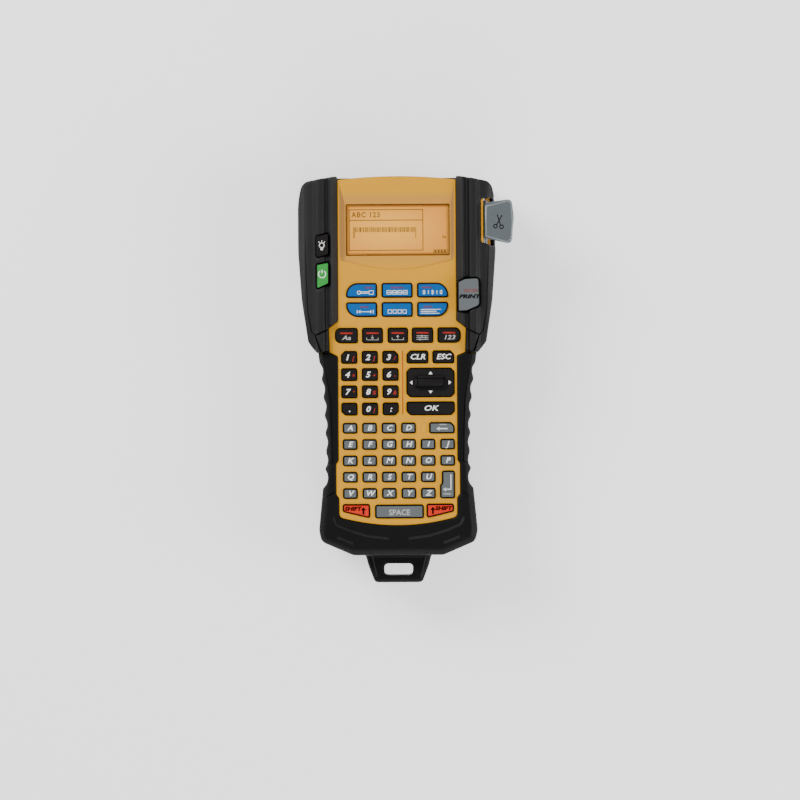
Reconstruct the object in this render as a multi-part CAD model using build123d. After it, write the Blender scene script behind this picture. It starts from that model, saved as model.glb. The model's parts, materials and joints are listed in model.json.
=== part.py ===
from build123d import *
import math
import os

os.makedirs("parts", exist_ok=True)

# A hand-held label maker lying on its back: +X right, +Y to the label exit, +Z out of the
# keypad. The origin is on the flat back, in the middle of the waist. All sizes are in mm.

# ---------------------------------------------------------------- overall sizes
head_half_width = 60.5
head_length = 101.5
waist_half_width = 54.4
waist_step_y = -6.5
grip_half_width = 43.8
boot_half_width = 48.6
body_depth = 62.0
tower_rise = 6.0
split_height = 32.0
grip_rise = 8.0

# ---------------------------------------------------------------- walls and gaps
wall = 2.5
rubber_wall = 3.0
head_floor = 4.5
back_bevel = 2.2
plate_thickness = 3.0
plate_step = 2.5
island_wall = 0.7
fit_gap = 0.15
key_gap = 0.5
flange_lip = 0.5
flange_thickness = 0.8
flange_gap = 0.3
key_travel = 1.2
key_proud = 1.5
key_chamfer = 0.5
mat_clearance = 0.2
running_gap = 0.05
door_gap = 0.3

# ---------------------------------------------------------------- levels along Z
plate_top = body_depth - tower_rise
plate_under = plate_top - plate_thickness
ledge_top = plate_top - plate_step
ledge_under = ledge_top - plate_thickness
rubber_top = plate_top + 1.2
cap_top = plate_top + key_proud
flange_top = plate_under - flange_gap
flange_under = flange_top - flange_thickness
mat_top = min(flange_under - key_travel - mat_clearance, ledge_under)
mat_thickness = 1.4
board_thickness = 1.6
chips = ((-14.0, 20.0, 14.0), (12.0, -10.0, 10.0), (-10.0, -50.0, 12.0))
chip_height = 1.8
recess_depth = 1.0
window_thickness = 1.2
recess_floor = plate_top - recess_depth

# ---------------------------------------------------------------- front plate outline
plate_half_width = 36.0
yoke_half_width = 41.8
yoke_top = 8.4
yoke_bottom = -6.3
lobe_half_width = 37.8
plate_top_drop = 2.4
plate_arch = 4.0
plate_arch_radius = 300.0

# ---------------------------------------------------------------- keys
hot_key = (19.0, 9.1)
hot_pitch = (21.7, 11.7)
hot_centre_y = 25.65
hot_leaf_radius = 7.2
function_centres = (-31.1, -15.2, 0.3, 15.4, 31.6)
function_widths = (14.0, 12.8, 12.5, 13.1, 14.2)
function_height = 9.5
function_y = 4.0
function_end_radius = 3.6
number_key = (9.9, 7.9)
number_pitch = (12.6, 10.53)
number_left = -29.5
number_top = -9.3
clear_key = (13.3, 8.0)
clear_x = 12.2
escape_x = 28.0
pad_x = 20.1
pad_y = -24.9
pad_size = (29.5, 18.1)
ok_height = 8.4
letter_key = (9.0, 6.6)
letter_pitch = (11.9, 9.97)
letter_left = -29.2
letter_gap_above = 11.7
letter_counts = (4, 6, 6, 5, 5)
backspace = (15.6, 7.0)
backspace_x = 26.9
status_size = (3.0, 6.2)
status_radius = 0.6
status_x = 15.7
return_width = 9.2
return_x = 30.1
shift_span = (17.2, 34.0)
space_key = (29.8, 8.5)
bottom_row_gap = 11.1
plate_margin_below = 3.8
plate_sag = 9.0
plate_sag_radius = 130.0
small_radius = 1.4
cut_radius = 1.3
corner_cut = 2.3

number_bottom = number_top - 3 * number_pitch[1]
letter_top = number_bottom - letter_gap_above
letter_bottom = letter_top - 4 * letter_pitch[1]
space_y = letter_bottom - bottom_row_gap
shift_top = space_y + 4.7
plate_bottom = space_y - space_key[1] / 2 - plate_margin_below
plate_corner_y = plate_bottom + 4.7

# side keys that stand in the shoulders
side_key_top = body_depth + 0.4
backlight_span = (-49.5, -41.3, 50.8, 66.9)
power_span = (-49.5, -41.1, 31.5, 49.3)
print_span = (36.6, 50.8, 17.8, 39.4)
side_flange_top = ledge_under - flange_gap

# ---------------------------------------------------------------- boot and strap tab
boot_corner_y = plate_bottom - 7.4
boot_base_y = plate_bottom - 20.4
tab_length = 15.8
tab_root_half = 20.5
tab_tip_half = 14.6
tab_level = (22.0, 40.0)
tab_end_y = boot_base_y - tab_length
strap_slot = (17.6, 7.2)
strap_slot_radius = 1.8
strap_slot_rim = 4.5
scallop_count = 7
scallop_radius = 8.0
scallop_depth = 0.9
scallop_top_y = -18.0
scallop_pitch = 10.8
heel_length = 12.0
heel_gap = 2.6
boot_bevel = 3.4

# ---------------------------------------------------------------- display
window_size = (63.7, 31.7)
window_centre = (0.6, head_length - 33.0)
window_ledge = 1.4
recess_half_width = 35.0
recess_top_margin = 2.6
recess_rim = 0.5
recess_below_window = 7.6
module_thickness = 7.0

# ---------------------------------------------------------------- back doors and bays
door_thickness = 2.5
hinge_radius = door_thickness / 2
trunnion_radius = 0.8
trunnion_length = 3.0
seat_thickness = head_floor - door_thickness
cassette_door_half = 47.0
cassette_door_y = (14.0, 92.0)
battery_door_half = 31.0
battery_door_y = (plate_bottom + 4.0, -22.0)
notch_radius = 9.0
cassette_size = (74.0, 70.0, 25.0)
cassette_centre = (-7.0, 53.0)
cassette_wall = 1.6
bay_gap = 1.0
bay_wall = 1.5
label_reel = (-22.0, 53.0, 19.0)
ribbon_reel = (12.0, 66.0, 9.0)
reel_post_radius = 3.0
cell_radius = 7.25
cell_length = 50.5
cell_pitch = 14.9
cell_count = 6
contact_thickness = 0.6
contact_play = 1.2

# ---------------------------------------------------------------- print drive
module_size = 0.8
pressure_angle = math.radians(20)
pinion_teeth = 12
idler_teeth = 30
platen_teeth = 24
gear_height = 3.0
gear_level = 34.2
drive_x = 41.0
platen_y = head_length - 28.5
platen_radius = 4.0
shaft_radius = 1.0
post_radius = 1.5
tape_gap = 0.4
head_block = (3.9, 14.0)
print_head_margin = 1.0
motor_radius = 8.0
motor_height = 25.0
slot_width = 2.6
slot_level = (6.0, 29.0)

# ---------------------------------------------------------------- cutter
lever_span_y = (head_length - 42.3, head_length - 14.7)
lever_tip_x = 71.5
lever_pivot = (52.6, 50.0)
lever_pin_radius = 1.25
lever_hub_radius = 2.9
lever_thickness = 3.2
lever_top = 60.2
lever_neck = 1.0
lever_web = 3.4
lever_web_margin = (5.0, 4.0)
fence_thickness = 1.4
fence_height = 5.0
fence_foot = 2.0
ear_thickness = 3.0
ear_half = 3.4
notch_gap = 0.8
blade_arm = 14.0
blade_width = 9.0
blade_thickness = 1.2

# ---------------------------------------------------------------- screws
screw_places = ((50.5, 94.0), (-50.5, 94.0), (47.0, 6.0), (-47.0, 6.0))
screw_radius = 1.4
screw_head_radius = 2.8
screw_head_height = 2.0
screw_length = 16.0
boss_radius = 3.6
counterbore_gap = 0.3
screw_head_level = 1.2


# ================================================================ helpers
def face_of(points, radii):
    """A flat outline through points, each corner rounded by its radius."""
    return make_face(FilletPolyline(*points, radius=list(radii), close=True))


def mirrored(points, radii):
    """The outline whose right half is points, from top to bottom."""
    left = [(-x, y) for x, y in reversed(points)]
    return face_of(points + left, list(radii) + list(reversed(radii)))


def slab(face, low, high):
    """The flat face as a prism between two levels."""
    return Pos(0, 0, low) * extrude(face, amount=high - low, dir=(0, 0, 1))


def bevelled(face, start, end, inset):
    """The flat face lofted from one level to another, drawn in by inset on the way."""
    return loft([Pos(0, 0, start) * face, Pos(0, 0, end) * grown(face, -inset)])


def brick(x0, x1, y0, y1, z0, z1):
    """A box between corner values."""
    return Pos(x0, y0, z0) * Box(
        x1 - x0, y1 - y0, z1 - z0, align=(Align.MIN, Align.MIN, Align.MIN)
    )


def post(x, y, radius, low, high):
    """An upright round pin."""
    return Pos(x, y, low) * Cylinder(radius, high - low, align=(Align.CENTER, Align.CENTER, Align.MIN))


def bar_x(y, z, radius, x0, x1):
    """A round bar along X."""
    return Pos((x0 + x1) / 2, y, z) * Rot(0, 90, 0) * Cylinder(radius, x1 - x0)


def bar_y(x, z, radius, y0, y1):
    """A round bar along Y."""
    return Pos(x, (y0 + y1) / 2, z) * Rot(90, 0, 0) * Cylinder(radius, y1 - y0)


def along_x(points, half):
    """A prism across the body, both ways from the middle, whose (y, z) section is given."""
    section = make_face(Polyline(*[(0, y, z) for y, z in points], close=True))
    return extrude(section, amount=half, dir=(1, 0, 0), both=True)


def along_y(points, radii, y0, y1):
    """A prism along the body whose (x, z) section is given, with rounded corners."""
    flat = face_of(points, radii)
    return Pos(0, y1, 0) * Rot(90, 0, 0) * extrude(flat, amount=y1 - y0)


def grown(face, amount):
    """The face made larger, or smaller if amount is negative."""
    return offset(face, amount=amount, kind=Kind.INTERSECTION)


def box_face(x, y, width, height, radius=small_radius):
    """A rounded rectangle about a centre."""
    return Pos(x, y) * RectangleRounded(width, height, radius)


# ================================================================ outlines
def head_outline():
    points = [
        (plate_half_width + 0.3, head_length),
        (head_half_width - 2.6, head_length - 3.9),
        (head_half_width, head_length - 16.0),
        (head_half_width, head_length - 46.0),
        (head_half_width - 2.2, head_length - 76.0),
        (waist_half_width, 0.0),
        (waist_half_width - 5.0, waist_step_y),
    ]
    return mirrored(points, [2.0, 6.5, 60.0, 60.0, 80.0, 2.0, 2.0])


def grip_outline(side, top, foot):
    """The handle's outline: half width at its narrowest, at its top, and at its foot."""
    points = [
        (top, 4.0),
        (side + 1.8, -30.0),
        (side, -66.0),
        (foot, boot_corner_y + 4.0),
        (foot - 1.5, boot_corner_y - 3.0),
        (tab_root_half + 7.0, boot_base_y + 1.6),
    ]
    return mirrored(points, [1.0, 60.0, 60.0, 8.0, 5.0, 3.0])


def casing_grip_outline():
    inner = grip_half_width - rubber_wall
    points = [
        (waist_half_width - 6.0, 4.0),
        (inner + 1.8, -30.0),
        (inner, -66.0),
        (inner, boot_corner_y + 3.0),
        (inner - 12.0, boot_corner_y - 3.0),
    ]
    return mirrored(points, [1.0, 60.0, 60.0, 6.0, 4.0])


def plate_outline():
    """The yellow plate as it shows between the shoulders and the boot."""
    right = [
        (plate_half_width, head_length - plate_top_drop),
        (plate_half_width, yoke_top + 4.4),
        (yoke_half_width, yoke_top),
        (yoke_half_width - 0.5, yoke_bottom),
        (plate_half_width + 0.3, yoke_bottom - 2.2),
        (plate_half_width + 0.3, letter_bottom + 20.2),
        (lobe_half_width, letter_bottom + 18.0),
        (lobe_half_width, letter_bottom - 0.4),
        (plate_half_width, letter_bottom - 2.8),
        (plate_half_width, plate_corner_y),
    ]
    radii = [0.8, 1.5, 1.0, 1.0, 1.0, 1.0, 1.0, 1.0, 1.0, 3.0]
    left = [(-x, y) for x, y in reversed(right)]
    apex = (0.0, head_length - plate_top_drop + plate_arch)
    nadir = (0.0, plate_corner_y - plate_sag)
    points = [apex] + right + [nadir] + left
    corner = [plate_arch_radius] + radii + [plate_sag_radius] + list(reversed(radii))
    return face_of(points, corner)


def board_outline(inset):
    points = [
        (plate_half_width - 1.0 - inset, hot_centre_y + 12.4 - inset),
        (plate_half_width - 1.0 - inset, yoke_top + 1.6),
        (plate_half_width + 1.5 - inset, yoke_top + 1.6),
        (plate_half_width + 1.5 - inset, plate_corner_y - 1.5 + inset),
    ]
    return mirrored(points, [1.0, 0.4, 0.4, 2.0])


# ================================================================ key outlines
def hot_outline(column, row):
    """One of the six wide keys; the outer four are drawn in to a leaf at one corner."""
    width, height = hot_key
    x = (column - 1) * hot_pitch[0]
    y = hot_centre_y + (0.5 - row) * hot_pitch[1]
    if column == 1:
        return box_face(x, y, width, height)
    side = column - 1
    up = 1 if row == 0 else -1
    points = [
        (x - side * width / 2, y + up * height / 2),
        (x + side * width / 2, y + up * height / 2),
        (x + side * width / 2, y - up * height / 2),
        (x - side * width / 2, y - up * height / 2),
    ]
    return face_of(points, [small_radius, hot_leaf_radius, small_radius, small_radius])


def function_outline(index):
    x, width = function_centres[index], function_widths[index]
    if 0 < index < len(function_centres) - 1:
        return box_face(x, function_y, width, function_height)
    side = 1 if index else -1
    points = [
        (x - side * width / 2, function_y + function_height / 2),
        (x + side * width / 2, function_y + function_height / 2),
        (x + side * width / 2, function_y - function_height / 2),
        (x - side * width / 2, function_y - function_height / 2),
    ]
    return face_of(points, [small_radius, function_end_radius, function_end_radius, small_radius])


def cut_corner_outline(x, y, width, height, cuts):
    """A rectangle with some corners cut off; cuts lists (side, up) pairs."""
    size = corner_cut
    points = []
    for side, up in ((-1, 1), (1, 1), (1, -1), (-1, -1)):
        px, py = x + side * width / 2, y + up * height / 2
        if (side, up) in cuts:
            steps = [(px - side * size, py), (px, py - up * size)]
            points += steps if side * up > 0 else steps[::-1]
        else:
            points.append((px, py))
    return face_of(points, [cut_radius] * len(points))


def number_outlines(row):
    cuts = {(0, 0): [(-1, 1)], (0, 2): [(1, 1)], (3, 0): [(-1, -1)], (3, 2): [(1, -1)]}
    y = number_top - row * number_pitch[1]
    return [
        cut_corner_outline(number_left + i * number_pitch[0], y, *number_key, cuts.get((row, i), []))
        for i in range(3)
    ]


def letter_outlines(row):
    y = letter_top - row * letter_pitch[1]
    return [
        box_face(letter_left + i * letter_pitch[0], y, *letter_key)
        for i in range(letter_counts[row])
    ]


def shift_outline(side):
    near, far = shift_span
    points = [
        (side * near, shift_top),
        (side * far, shift_top),
        (side * far, shift_top - 4.9),
        (side * near, shift_top - 8.9),
    ]
    return face_of(points, [small_radius, small_radius, 1.6, small_radius])


def return_outline():
    top = letter_top - 2.62 * letter_pitch[1]
    bottom = letter_bottom - 3.3
    half = return_width / 2
    points = [
        (return_x - half + 1.2, top),
        (return_x + half, top),
        (return_x + half, bottom),
        (return_x - half, bottom),
        (return_x - half, bottom + 8.0),
        (return_x - half + 1.2, bottom + 9.6),
    ]
    return face_of(points, [cut_radius, cut_radius, cut_radius, cut_radius, 1.5, 0.6])


def span_outline(span, slant):
    """A side key's outline; its inner side stands higher than its outer side by the slants."""
    x0, x1, y0, y1 = span
    top, bottom = slant
    points = [(x0, y1 - top), (x1, y1), (x1, y0 + bottom), (x0, y0)]
    return face_of(points, [1.8, 1.4, 1.8, 1.4])


def print_outline():
    """The wide key in the right shoulder, rounder on its outer side."""
    x0, x1, y0, y1 = print_span
    points = [
        (x0, y1 - 2.8),
        (x0 + 4.6, y1 - 0.6),
        (x1 - 0.4, y1),
        (x1, y0 + 3.8),
        (x0 + 6.0, y0 + 0.2),
        (x0, y0),
    ]
    return face_of(points, [1.5, 5.0, 2.6, 3.4, 5.0, 1.5])


def plate_keys():
    """The openings of the keys that stand in the plate, by node name."""
    keys = {}
    for row in range(2):
        for column in range(3):
            keys[f"hot_key_{row * 3 + column + 1}"] = [hot_outline(column, row)]
    for index in range(len(function_centres)):
        keys[f"function_key_{index + 1}"] = [function_outline(index)]
    for row in range(4):
        keys[f"number_row_{row + 1}"] = number_outlines(row)
    keys["clear_key"] = [cut_corner_outline(clear_x, number_top, *clear_key, [(-1, 1)])]
    keys["escape_key"] = [cut_corner_outline(escape_x, number_top, *clear_key, [(1, 1)])]
    w, h = pad_size
    corners = [(-1, 1), (1, 1), (1, -1), (-1, -1)]
    keys["navigation_pad"] = [cut_corner_outline(pad_x, pad_y, w, h, corners)]
    lower = [(1, -1), (-1, -1)]
    keys["ok_key"] = [cut_corner_outline(pad_x, number_bottom + 0.2, w, ok_height, lower)]
    for row in range(len(letter_counts)):
        keys[f"letter_row_{row + 1}"] = letter_outlines(row)
    keys["backspace_key"] = [cut_corner_outline(backspace_x, letter_top, *backspace, [(1, 1)])]
    keys["return_key"] = [return_outline()]
    keys["left_shift_key"] = [shift_outline(-1)]
    keys["right_shift_key"] = [shift_outline(1)]
    keys["space_key"] = [box_face(0.7, space_y, *space_key)]
    return keys


def side_keys():
    """The openings of the keys that stand in the shoulders, by node name."""
    return {
        "backlight_key": [span_outline(backlight_span, (2.0, 2.4))],
        "power_key": [span_outline(power_span, (1.6, 3.8))],
        "print_key": [print_outline()],
    }


def key_cap(face, top, flange):
    """A cap in the opening face, with a retaining flange under it and a softened upper edge."""
    low = flange - flange_thickness
    cap = slab(grown(face, -key_gap), low, top)
    upper = cap.edges().group_by(Axis.Z)[-1]
    cap = chamfer(upper, key_chamfer)
    return cap + slab(grown(face, flange_lip), low, flange)


def key_node(faces, top, flange):
    """One key, or a row of keys that make one sub-part."""
    caps = [key_cap(face, top, flange) for face in faces]
    return caps[0] if len(caps) == 1 else Compound(children=caps)


# ================================================================ casings
def head_inside():
    return grown(head_outline(), -rubber_wall)


def casing_faces():
    """The front casing's outline and the space inside both casings."""
    outer = head_inside() + casing_grip_outline()
    inner = grown(head_inside(), -wall) + grown(casing_grip_outline(), -wall)
    return outer, inner


def lever_notch(gap):
    """The pocket that the cutter lever's hub turns in."""
    y0, y1 = lever_span_y
    px, pz = lever_pivot
    reach = lever_hub_radius + gap
    return brick(px - reach, head_half_width + 20, y0 - gap, y1 + gap, ledge_under - 8.0, pz + reach)


def paddle_points(gap):
    """The cutter lever's corners, from its inner upper corner clockwise, moved out by gap."""
    y0, y1 = lever_span_y
    inner = lever_pivot[0] + lever_neck - gap
    return [
        (inner, y1 - 2.3 + gap),
        (lever_tip_x - 1.4, y1 + gap),
        (lever_tip_x - 1.5, y0 - gap),
        (inner, y0 + 3.8 - gap),
    ]


def lever_opening():
    """The open corner of the right shoulder that the lever's paddle stands in."""
    upper_in, _, _, lower_in = paddle_points(notch_gap + fence_thickness)
    y0, y1 = lever_span_y
    far = head_half_width + 20
    edge = head_half_width - 1.7
    points = [
        upper_in,
        (edge, y1 + 1.1),
        (far, y1 + 1.1),
        (far, y0 - 6.0),
        (edge + 3.0, y0 - 5.0),
        (edge, y0 - 0.9),
        lower_in,
    ]
    level = lever_pivot[1] + lever_hub_radius + notch_gap
    return slab(face_of(points, [0.8, 3.0, 1.0, 1.0, 3.0, 3.0, 0.8]), level - 0.2, body_depth + 5)


def lever_fence(gap):
    """A low wall of the casing beside the paddle, arched over the hub."""
    y0, y1 = lever_span_y
    px, pz = lever_pivot
    x1 = px + lever_neck - notch_gap
    ends = notch_gap + fence_foot + gap
    high = ledge_top + fence_height + gap
    wall_part = brick(x1 - fence_thickness - gap, x1 + gap, y0 - ends, y1 + ends, ledge_top - 1.0, high)
    return wall_part - bar_y(px, pz, lever_hub_radius + notch_gap / 2, y0 - notch_gap, y1 + notch_gap)


def tape_slot(y0, y1):
    x = drive_x - platen_radius - tape_gap / 2
    return brick(x - slot_width / 2, x + slot_width / 2, y0, y1, *slot_level)


def lever_ears():
    """The two lugs that hold the lever's pin."""
    y0, y1 = lever_span_y
    px, pz = lever_pivot
    reach = lever_hub_radius + notch_gap
    ears = []
    for low in (y0 - notch_gap - ear_thickness, y1 + notch_gap):
        high = low + ear_thickness
        ears.append(brick(px - reach, px + ear_half, low, high, pz - ear_half, ledge_under))
    return ears


def plate_openings():
    """Every hole and hollow that the front casing's plate has."""
    low, high = ledge_under - 1, plate_top + 1
    faces = [face for group in (plate_keys(), side_keys()) for held in group.values() for face in held]
    faces.append(box_face(status_x, letter_top, *status_size, status_radius))
    cuts = [slab(face, low, high) for face in faces]
    wx, wy = window_centre
    ww, wh = window_size
    cuts.append(recess_cut())
    cuts.append(slab(box_face(wx, wy, ww, wh, 1.0), recess_floor - window_thickness, high))
    sight = box_face(wx, wy, ww - 2 * window_ledge, wh - 2 * window_ledge, 0.8)
    cuts.append(slab(sight, plate_under - 1, plate_top))
    return cuts


def front_casing():
    outer, inner = casing_faces()
    island = plate_outline()
    body = slab(outer, split_height, ledge_top) + slab(island, ledge_under, plate_top)
    body -= slab(inner, split_height, ledge_under)
    body -= slab(grown(island, -island_wall), ledge_under, plate_under)
    for x, y in screw_places:
        body += post(x, y, boss_radius, head_floor, ledge_under) & slab(outer, head_floor, ledge_under)
    body -= lever_notch(notch_gap)
    body += lever_fence(0.0)
    for ear in lever_ears():
        body += ear
    y0, y1 = lever_span_y
    reach = notch_gap + ear_thickness
    body -= bar_y(*lever_pivot, lever_pin_radius + running_gap, y0 - reach, y1 + reach)
    screw_end = screw_head_level + screw_head_height + screw_length
    for x, y in screw_places:
        body -= post(x, y, screw_radius, head_floor - 1, screw_end)
    body -= tape_slot(head_length - 12, head_length + 2)
    for opening in plate_openings():
        body -= opening
    return body


def recess_face():
    """The plan of the dished panel round the display, its lower edge bowed."""
    top = head_length - plate_top_drop
    bottom = window_centre[1] - window_size[1] / 2 - recess_below_window
    right = [(recess_half_width, top), (recess_half_width, bottom + 5.0)]
    left = [(-x, y) for x, y in reversed(right)]
    return face_of(right + [(0.0, bottom - 3.4)] + left, [1.5, 3.0, 90.0, 3.0, 1.5])


def recess_cut():
    """What the dished panel takes out of the plate: four slopes down to the window."""
    wx, wy = window_centre
    ww, wh = window_size
    high = plate_top + 2.0
    top = head_length - plate_top_drop - recess_top_margin
    bottom = wy - wh / 2 - recess_below_window
    x0, x1 = wx - ww / 2 - recess_rim, wx + ww / 2 + recess_rim
    y0, y1 = wy - wh / 2 - recess_rim, wy + wh / 2 + recess_rim
    low_y = bottom - 8.0
    floor_line = [(y1, recess_floor), (y0, recess_floor)]
    ends = along_x(
        [(top, high), (top, plate_top)] + floor_line + [(low_y, plate_top), (low_y, high)],
        head_half_width,
    )
    reach = recess_half_width
    floor_line = [(x0, recess_floor), (x1, recess_floor)]
    points = [(-reach, high), (-reach, plate_top)] + floor_line + [(reach, plate_top), (reach, high)]
    sides = along_y(points, [0.0] * len(points), low_y - 2.0, head_length)
    return ends & sides & slab(recess_face(), recess_floor, high)


def back_relief(lift):
    """The space under the handle, where the fingers go; lift raises it by a wall."""
    slope = 12.0
    start, end = -8.0, -300.0
    top = grip_rise + lift
    points = [(start, -1.0), (start, lift), (start - slope, top), (end, top), (end, -1.0)]
    return along_x(points, head_half_width + 40)


def door_recess(half, y0, y1, level):
    """What a door takes out of the back: its recess, its hinge groove and its bearings."""
    hinge_z = level + hinge_radius
    reach = half + door_gap + trunnion_length
    cut = brick(-half - door_gap, half + door_gap, y0, y1 + door_gap, level - 1, level + door_thickness)
    cut += bar_x(y0, hinge_z, hinge_radius + door_gap, -half - door_gap, half + door_gap)
    cut += brick(-half - door_gap, half + door_gap, y0 - hinge_radius - door_gap, y0, level - 1, hinge_z)
    cut += bar_x(y0, hinge_z, trunnion_radius + running_gap, -reach, reach)
    return cut


def finger_scoop(y1, level):
    """The hollow at a door's free edge that a fingertip goes into."""
    return Pos(0, y1 + notch_radius * 0.45, level - notch_radius * 0.72) * Sphere(notch_radius)


def door(half, y0, y1, level):
    """A door with a rounded hinge edge, a trunnion at each end and a stiffening rim."""
    hinge_z = level + hinge_radius
    reach = half + door_gap + trunnion_length - running_gap
    body = brick(-half, half, y0, y1, level, level + door_thickness)
    body += bar_x(y0, hinge_z, hinge_radius, -half, half)
    body += bar_x(y0, hinge_z, trunnion_radius, -reach, reach)
    free = [e for e in body.edges() if e.center().Y > y1 - 0.01 and e.center().Z < level + 0.01]
    return chamfer(free, 0.6)


def bay(x0, x1, y0, y1, low, high):
    """The walls of a compartment that is open to the back."""
    outer = brick(x0 - bay_wall, x1 + bay_wall, y0 - bay_wall, y1 + bay_wall, low, high + bay_wall)
    return outer - brick(x0, x1, y0, y1, low - 1, high)


def cassette_bay_span():
    cx, cy = cassette_centre
    w, h, d = cassette_size
    return (cx - w / 2 - bay_gap, cx + w / 2 + bay_gap, cy - h / 2 - bay_gap, cy + h / 2 + bay_gap)


def battery_bay_span():
    half = cell_length / 2 + contact_play + contact_thickness
    y0, y1 = battery_door_y
    middle = (y0 + y1) / 2
    reach = cell_count * cell_pitch / 2
    return (-half, half, middle - reach, middle + reach)


def cell_level():
    return grip_rise + door_thickness + 0.8 + cell_radius


def rear_casing():
    _, inner = casing_faces()
    body = slab(head_outline(), back_bevel, split_height) + slab(casing_grip_outline(), 0, split_height)
    body += bevelled(head_outline(), back_bevel, 0, back_bevel)
    body -= back_relief(0.0)
    body -= slab(inner, head_floor, split_height + 1) - back_relief(head_floor)
    cassette_high = head_floor + cassette_size[2] + bay_gap
    battery_high = cell_level() + cell_radius + 0.4
    cassette_span = cassette_bay_span()
    battery_span = battery_bay_span()
    body += bay(*cassette_span, head_floor, cassette_high)
    body += bay(*battery_span, grip_rise + door_thickness, battery_high)
    body -= brick(*cassette_span, -1, head_floor + 1)
    body -= brick(*battery_span, -1, grip_rise + head_floor)
    body -= door_recess(cassette_door_half, *cassette_door_y, 0.0)
    body -= door_recess(battery_door_half, *battery_door_y, grip_rise)
    body -= finger_scoop(cassette_door_y[1], 0.0)
    body -= finger_scoop(battery_door_y[1], grip_rise)
    for x, y in screw_places:
        body -= post(x, y, boss_radius + fit_gap, head_floor, split_height + 1)
        body -= post(x, y, screw_radius + counterbore_gap, -1, head_floor + 1)
        body -= post(x, y, screw_head_radius + counterbore_gap, -1, screw_head_level + screw_head_height)
    body += post(drive_x, platen_y, shaft_radius + 1.5, head_floor - 0.5, head_floor + 1.5)
    body -= post(drive_x, platen_y, shaft_radius + running_gap, head_floor - 1, head_floor + 2)
    body += post(drive_x, idler_y(), post_radius, head_floor - 0.5, gear_level + gear_height + 0.8)
    body += post(drive_x, idler_y(), post_radius + 1.5, head_floor - 0.5, gear_level - 0.2)
    body -= tape_slot(head_length - 12, head_length + 2)
    return body


# ================================================================ rubber
def tower_section():
    """The shoulder's section on the right: a slope, a groove, a round ridge and a shelf."""
    e = plate_half_width + fit_gap
    h = body_depth
    points = [
        (e, split_height - 1), (e, plate_top + 0.6), (e + 4.0, h - 1.4),
        (e + 5.2, h - 2.6), (e + 7.0, h - 2.6),
        (e + 8.2, h), (e + 12.4, h), (e + 14.0, h - 2.2), (e + 19.6, h - 3.0),
        (head_half_width + 0.01, h - 9.0), (head_half_width + 0.01, split_height - 1),
    ]
    return points, [0.0, 0.4, 1.0, 0.4, 0.4, 1.2, 1.2, 0.6, 3.0, 3.0, 0.0]


def shoulder(side):
    points, radii = tower_section()
    ridge = along_y(points, radii, waist_step_y - 1.5, head_length + 1)
    if side < 0:
        ridge = mirror(ridge, about=Plane.YZ)
    plan = slab(head_outline(), split_height, body_depth + 1)
    body = plan & ridge
    outer, _ = casing_faces()
    body -= slab(grown(outer, fit_gap), split_height - 1, ledge_top)
    body -= slab(grown(plate_outline(), fit_gap), split_height - 1, body_depth + 1)
    for faces in side_keys().values():
        for face in faces:
            body -= slab(face, split_height, body_depth + 2)
    if side > 0:
        body -= lever_notch(notch_gap)
        body -= lever_opening()
        body -= lever_fence(fit_gap)
    return max(body.solids(), key=lambda s: s.volume)


def boot_outline():
    return grip_outline(grip_half_width, waist_half_width - 4.6, boot_half_width)


def scallops(side):
    """Shallow finger hollows down one side of the handle."""
    cuts = []
    for i in range(scallop_count):
        y = scallop_top_y - i * scallop_pitch
        share = min(1.0, -y / 66.0)
        x = (waist_half_width - 5.4) * (1 - share) ** 2 + grip_half_width * (1 - (1 - share) ** 2)
        cuts.append(post(side * (x + scallop_radius - scallop_depth), y, scallop_radius, -1, 70))
    return cuts


def rubber_boot():
    face = boot_outline()
    body = slab(face, grip_rise + boot_bevel, rubber_top - boot_bevel)
    body += bevelled(face, rubber_top - boot_bevel, rubber_top, boot_bevel)
    body += bevelled(face, grip_rise + boot_bevel, grip_rise, boot_bevel)
    heel_y = battery_door_y[0] - hinge_radius - heel_gap - heel_length / 2
    heel = grown(face, -boot_bevel) & (Pos(0, heel_y) * Rectangle(4 * boot_half_width, heel_length))
    upper_heel = slab(heel, grip_rise, grip_rise + boot_bevel + 1)
    body -= slab(Pos(0, waist_step_y - fit_gap + 40) * Rectangle(200, 80), -1, 70)
    for side in (-1, 1):
        for cut in scallops(side):
            body -= cut
    body += strap_tab()
    body -= slab(grown(casing_grip_outline(), fit_gap), -1, ledge_top)
    body -= slab(grown(plate_outline(), fit_gap), 0, 70)
    body += slab(heel, 0, grip_rise)
    body += upper_heel - slab(grown(casing_grip_outline(), fit_gap), grip_rise, ledge_top)
    return max(body.solids(), key=lambda s: s.volume)


def strap_tab():
    """The tab below the boot, with its slot for a wrist strap."""
    points = [
        (tab_root_half + 2.0, boot_base_y + 10.0),
        (tab_root_half, boot_base_y + 2.0),
        (tab_root_half - 1.8, boot_base_y - 5.0),
        (tab_tip_half, tab_end_y),
    ]
    low, high = tab_level
    tab = slab(mirrored(points, [0.0, 3.0, 6.0, 2.4]), low, high)
    middle = (low + high) / 2
    outside = [e for e in tab.edges() if e.center().Y < boot_base_y + 1]
    rim = [e for e in outside if abs(e.center().Z - middle) > 5]
    tab = chamfer(rim, 1.6)
    slot = box_face(0, tab_end_y + strap_slot_rim + strap_slot[1] / 2, *strap_slot, strap_slot_radius)
    return tab - slab(slot, low - 1, high + 1)


# ================================================================ electronics
def display_window():
    wx, wy = window_centre
    ww, wh = window_size
    return slab(box_face(wx, wy, ww - 0.2, wh - 0.2, 0.9), recess_floor - window_thickness, recess_floor)


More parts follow.
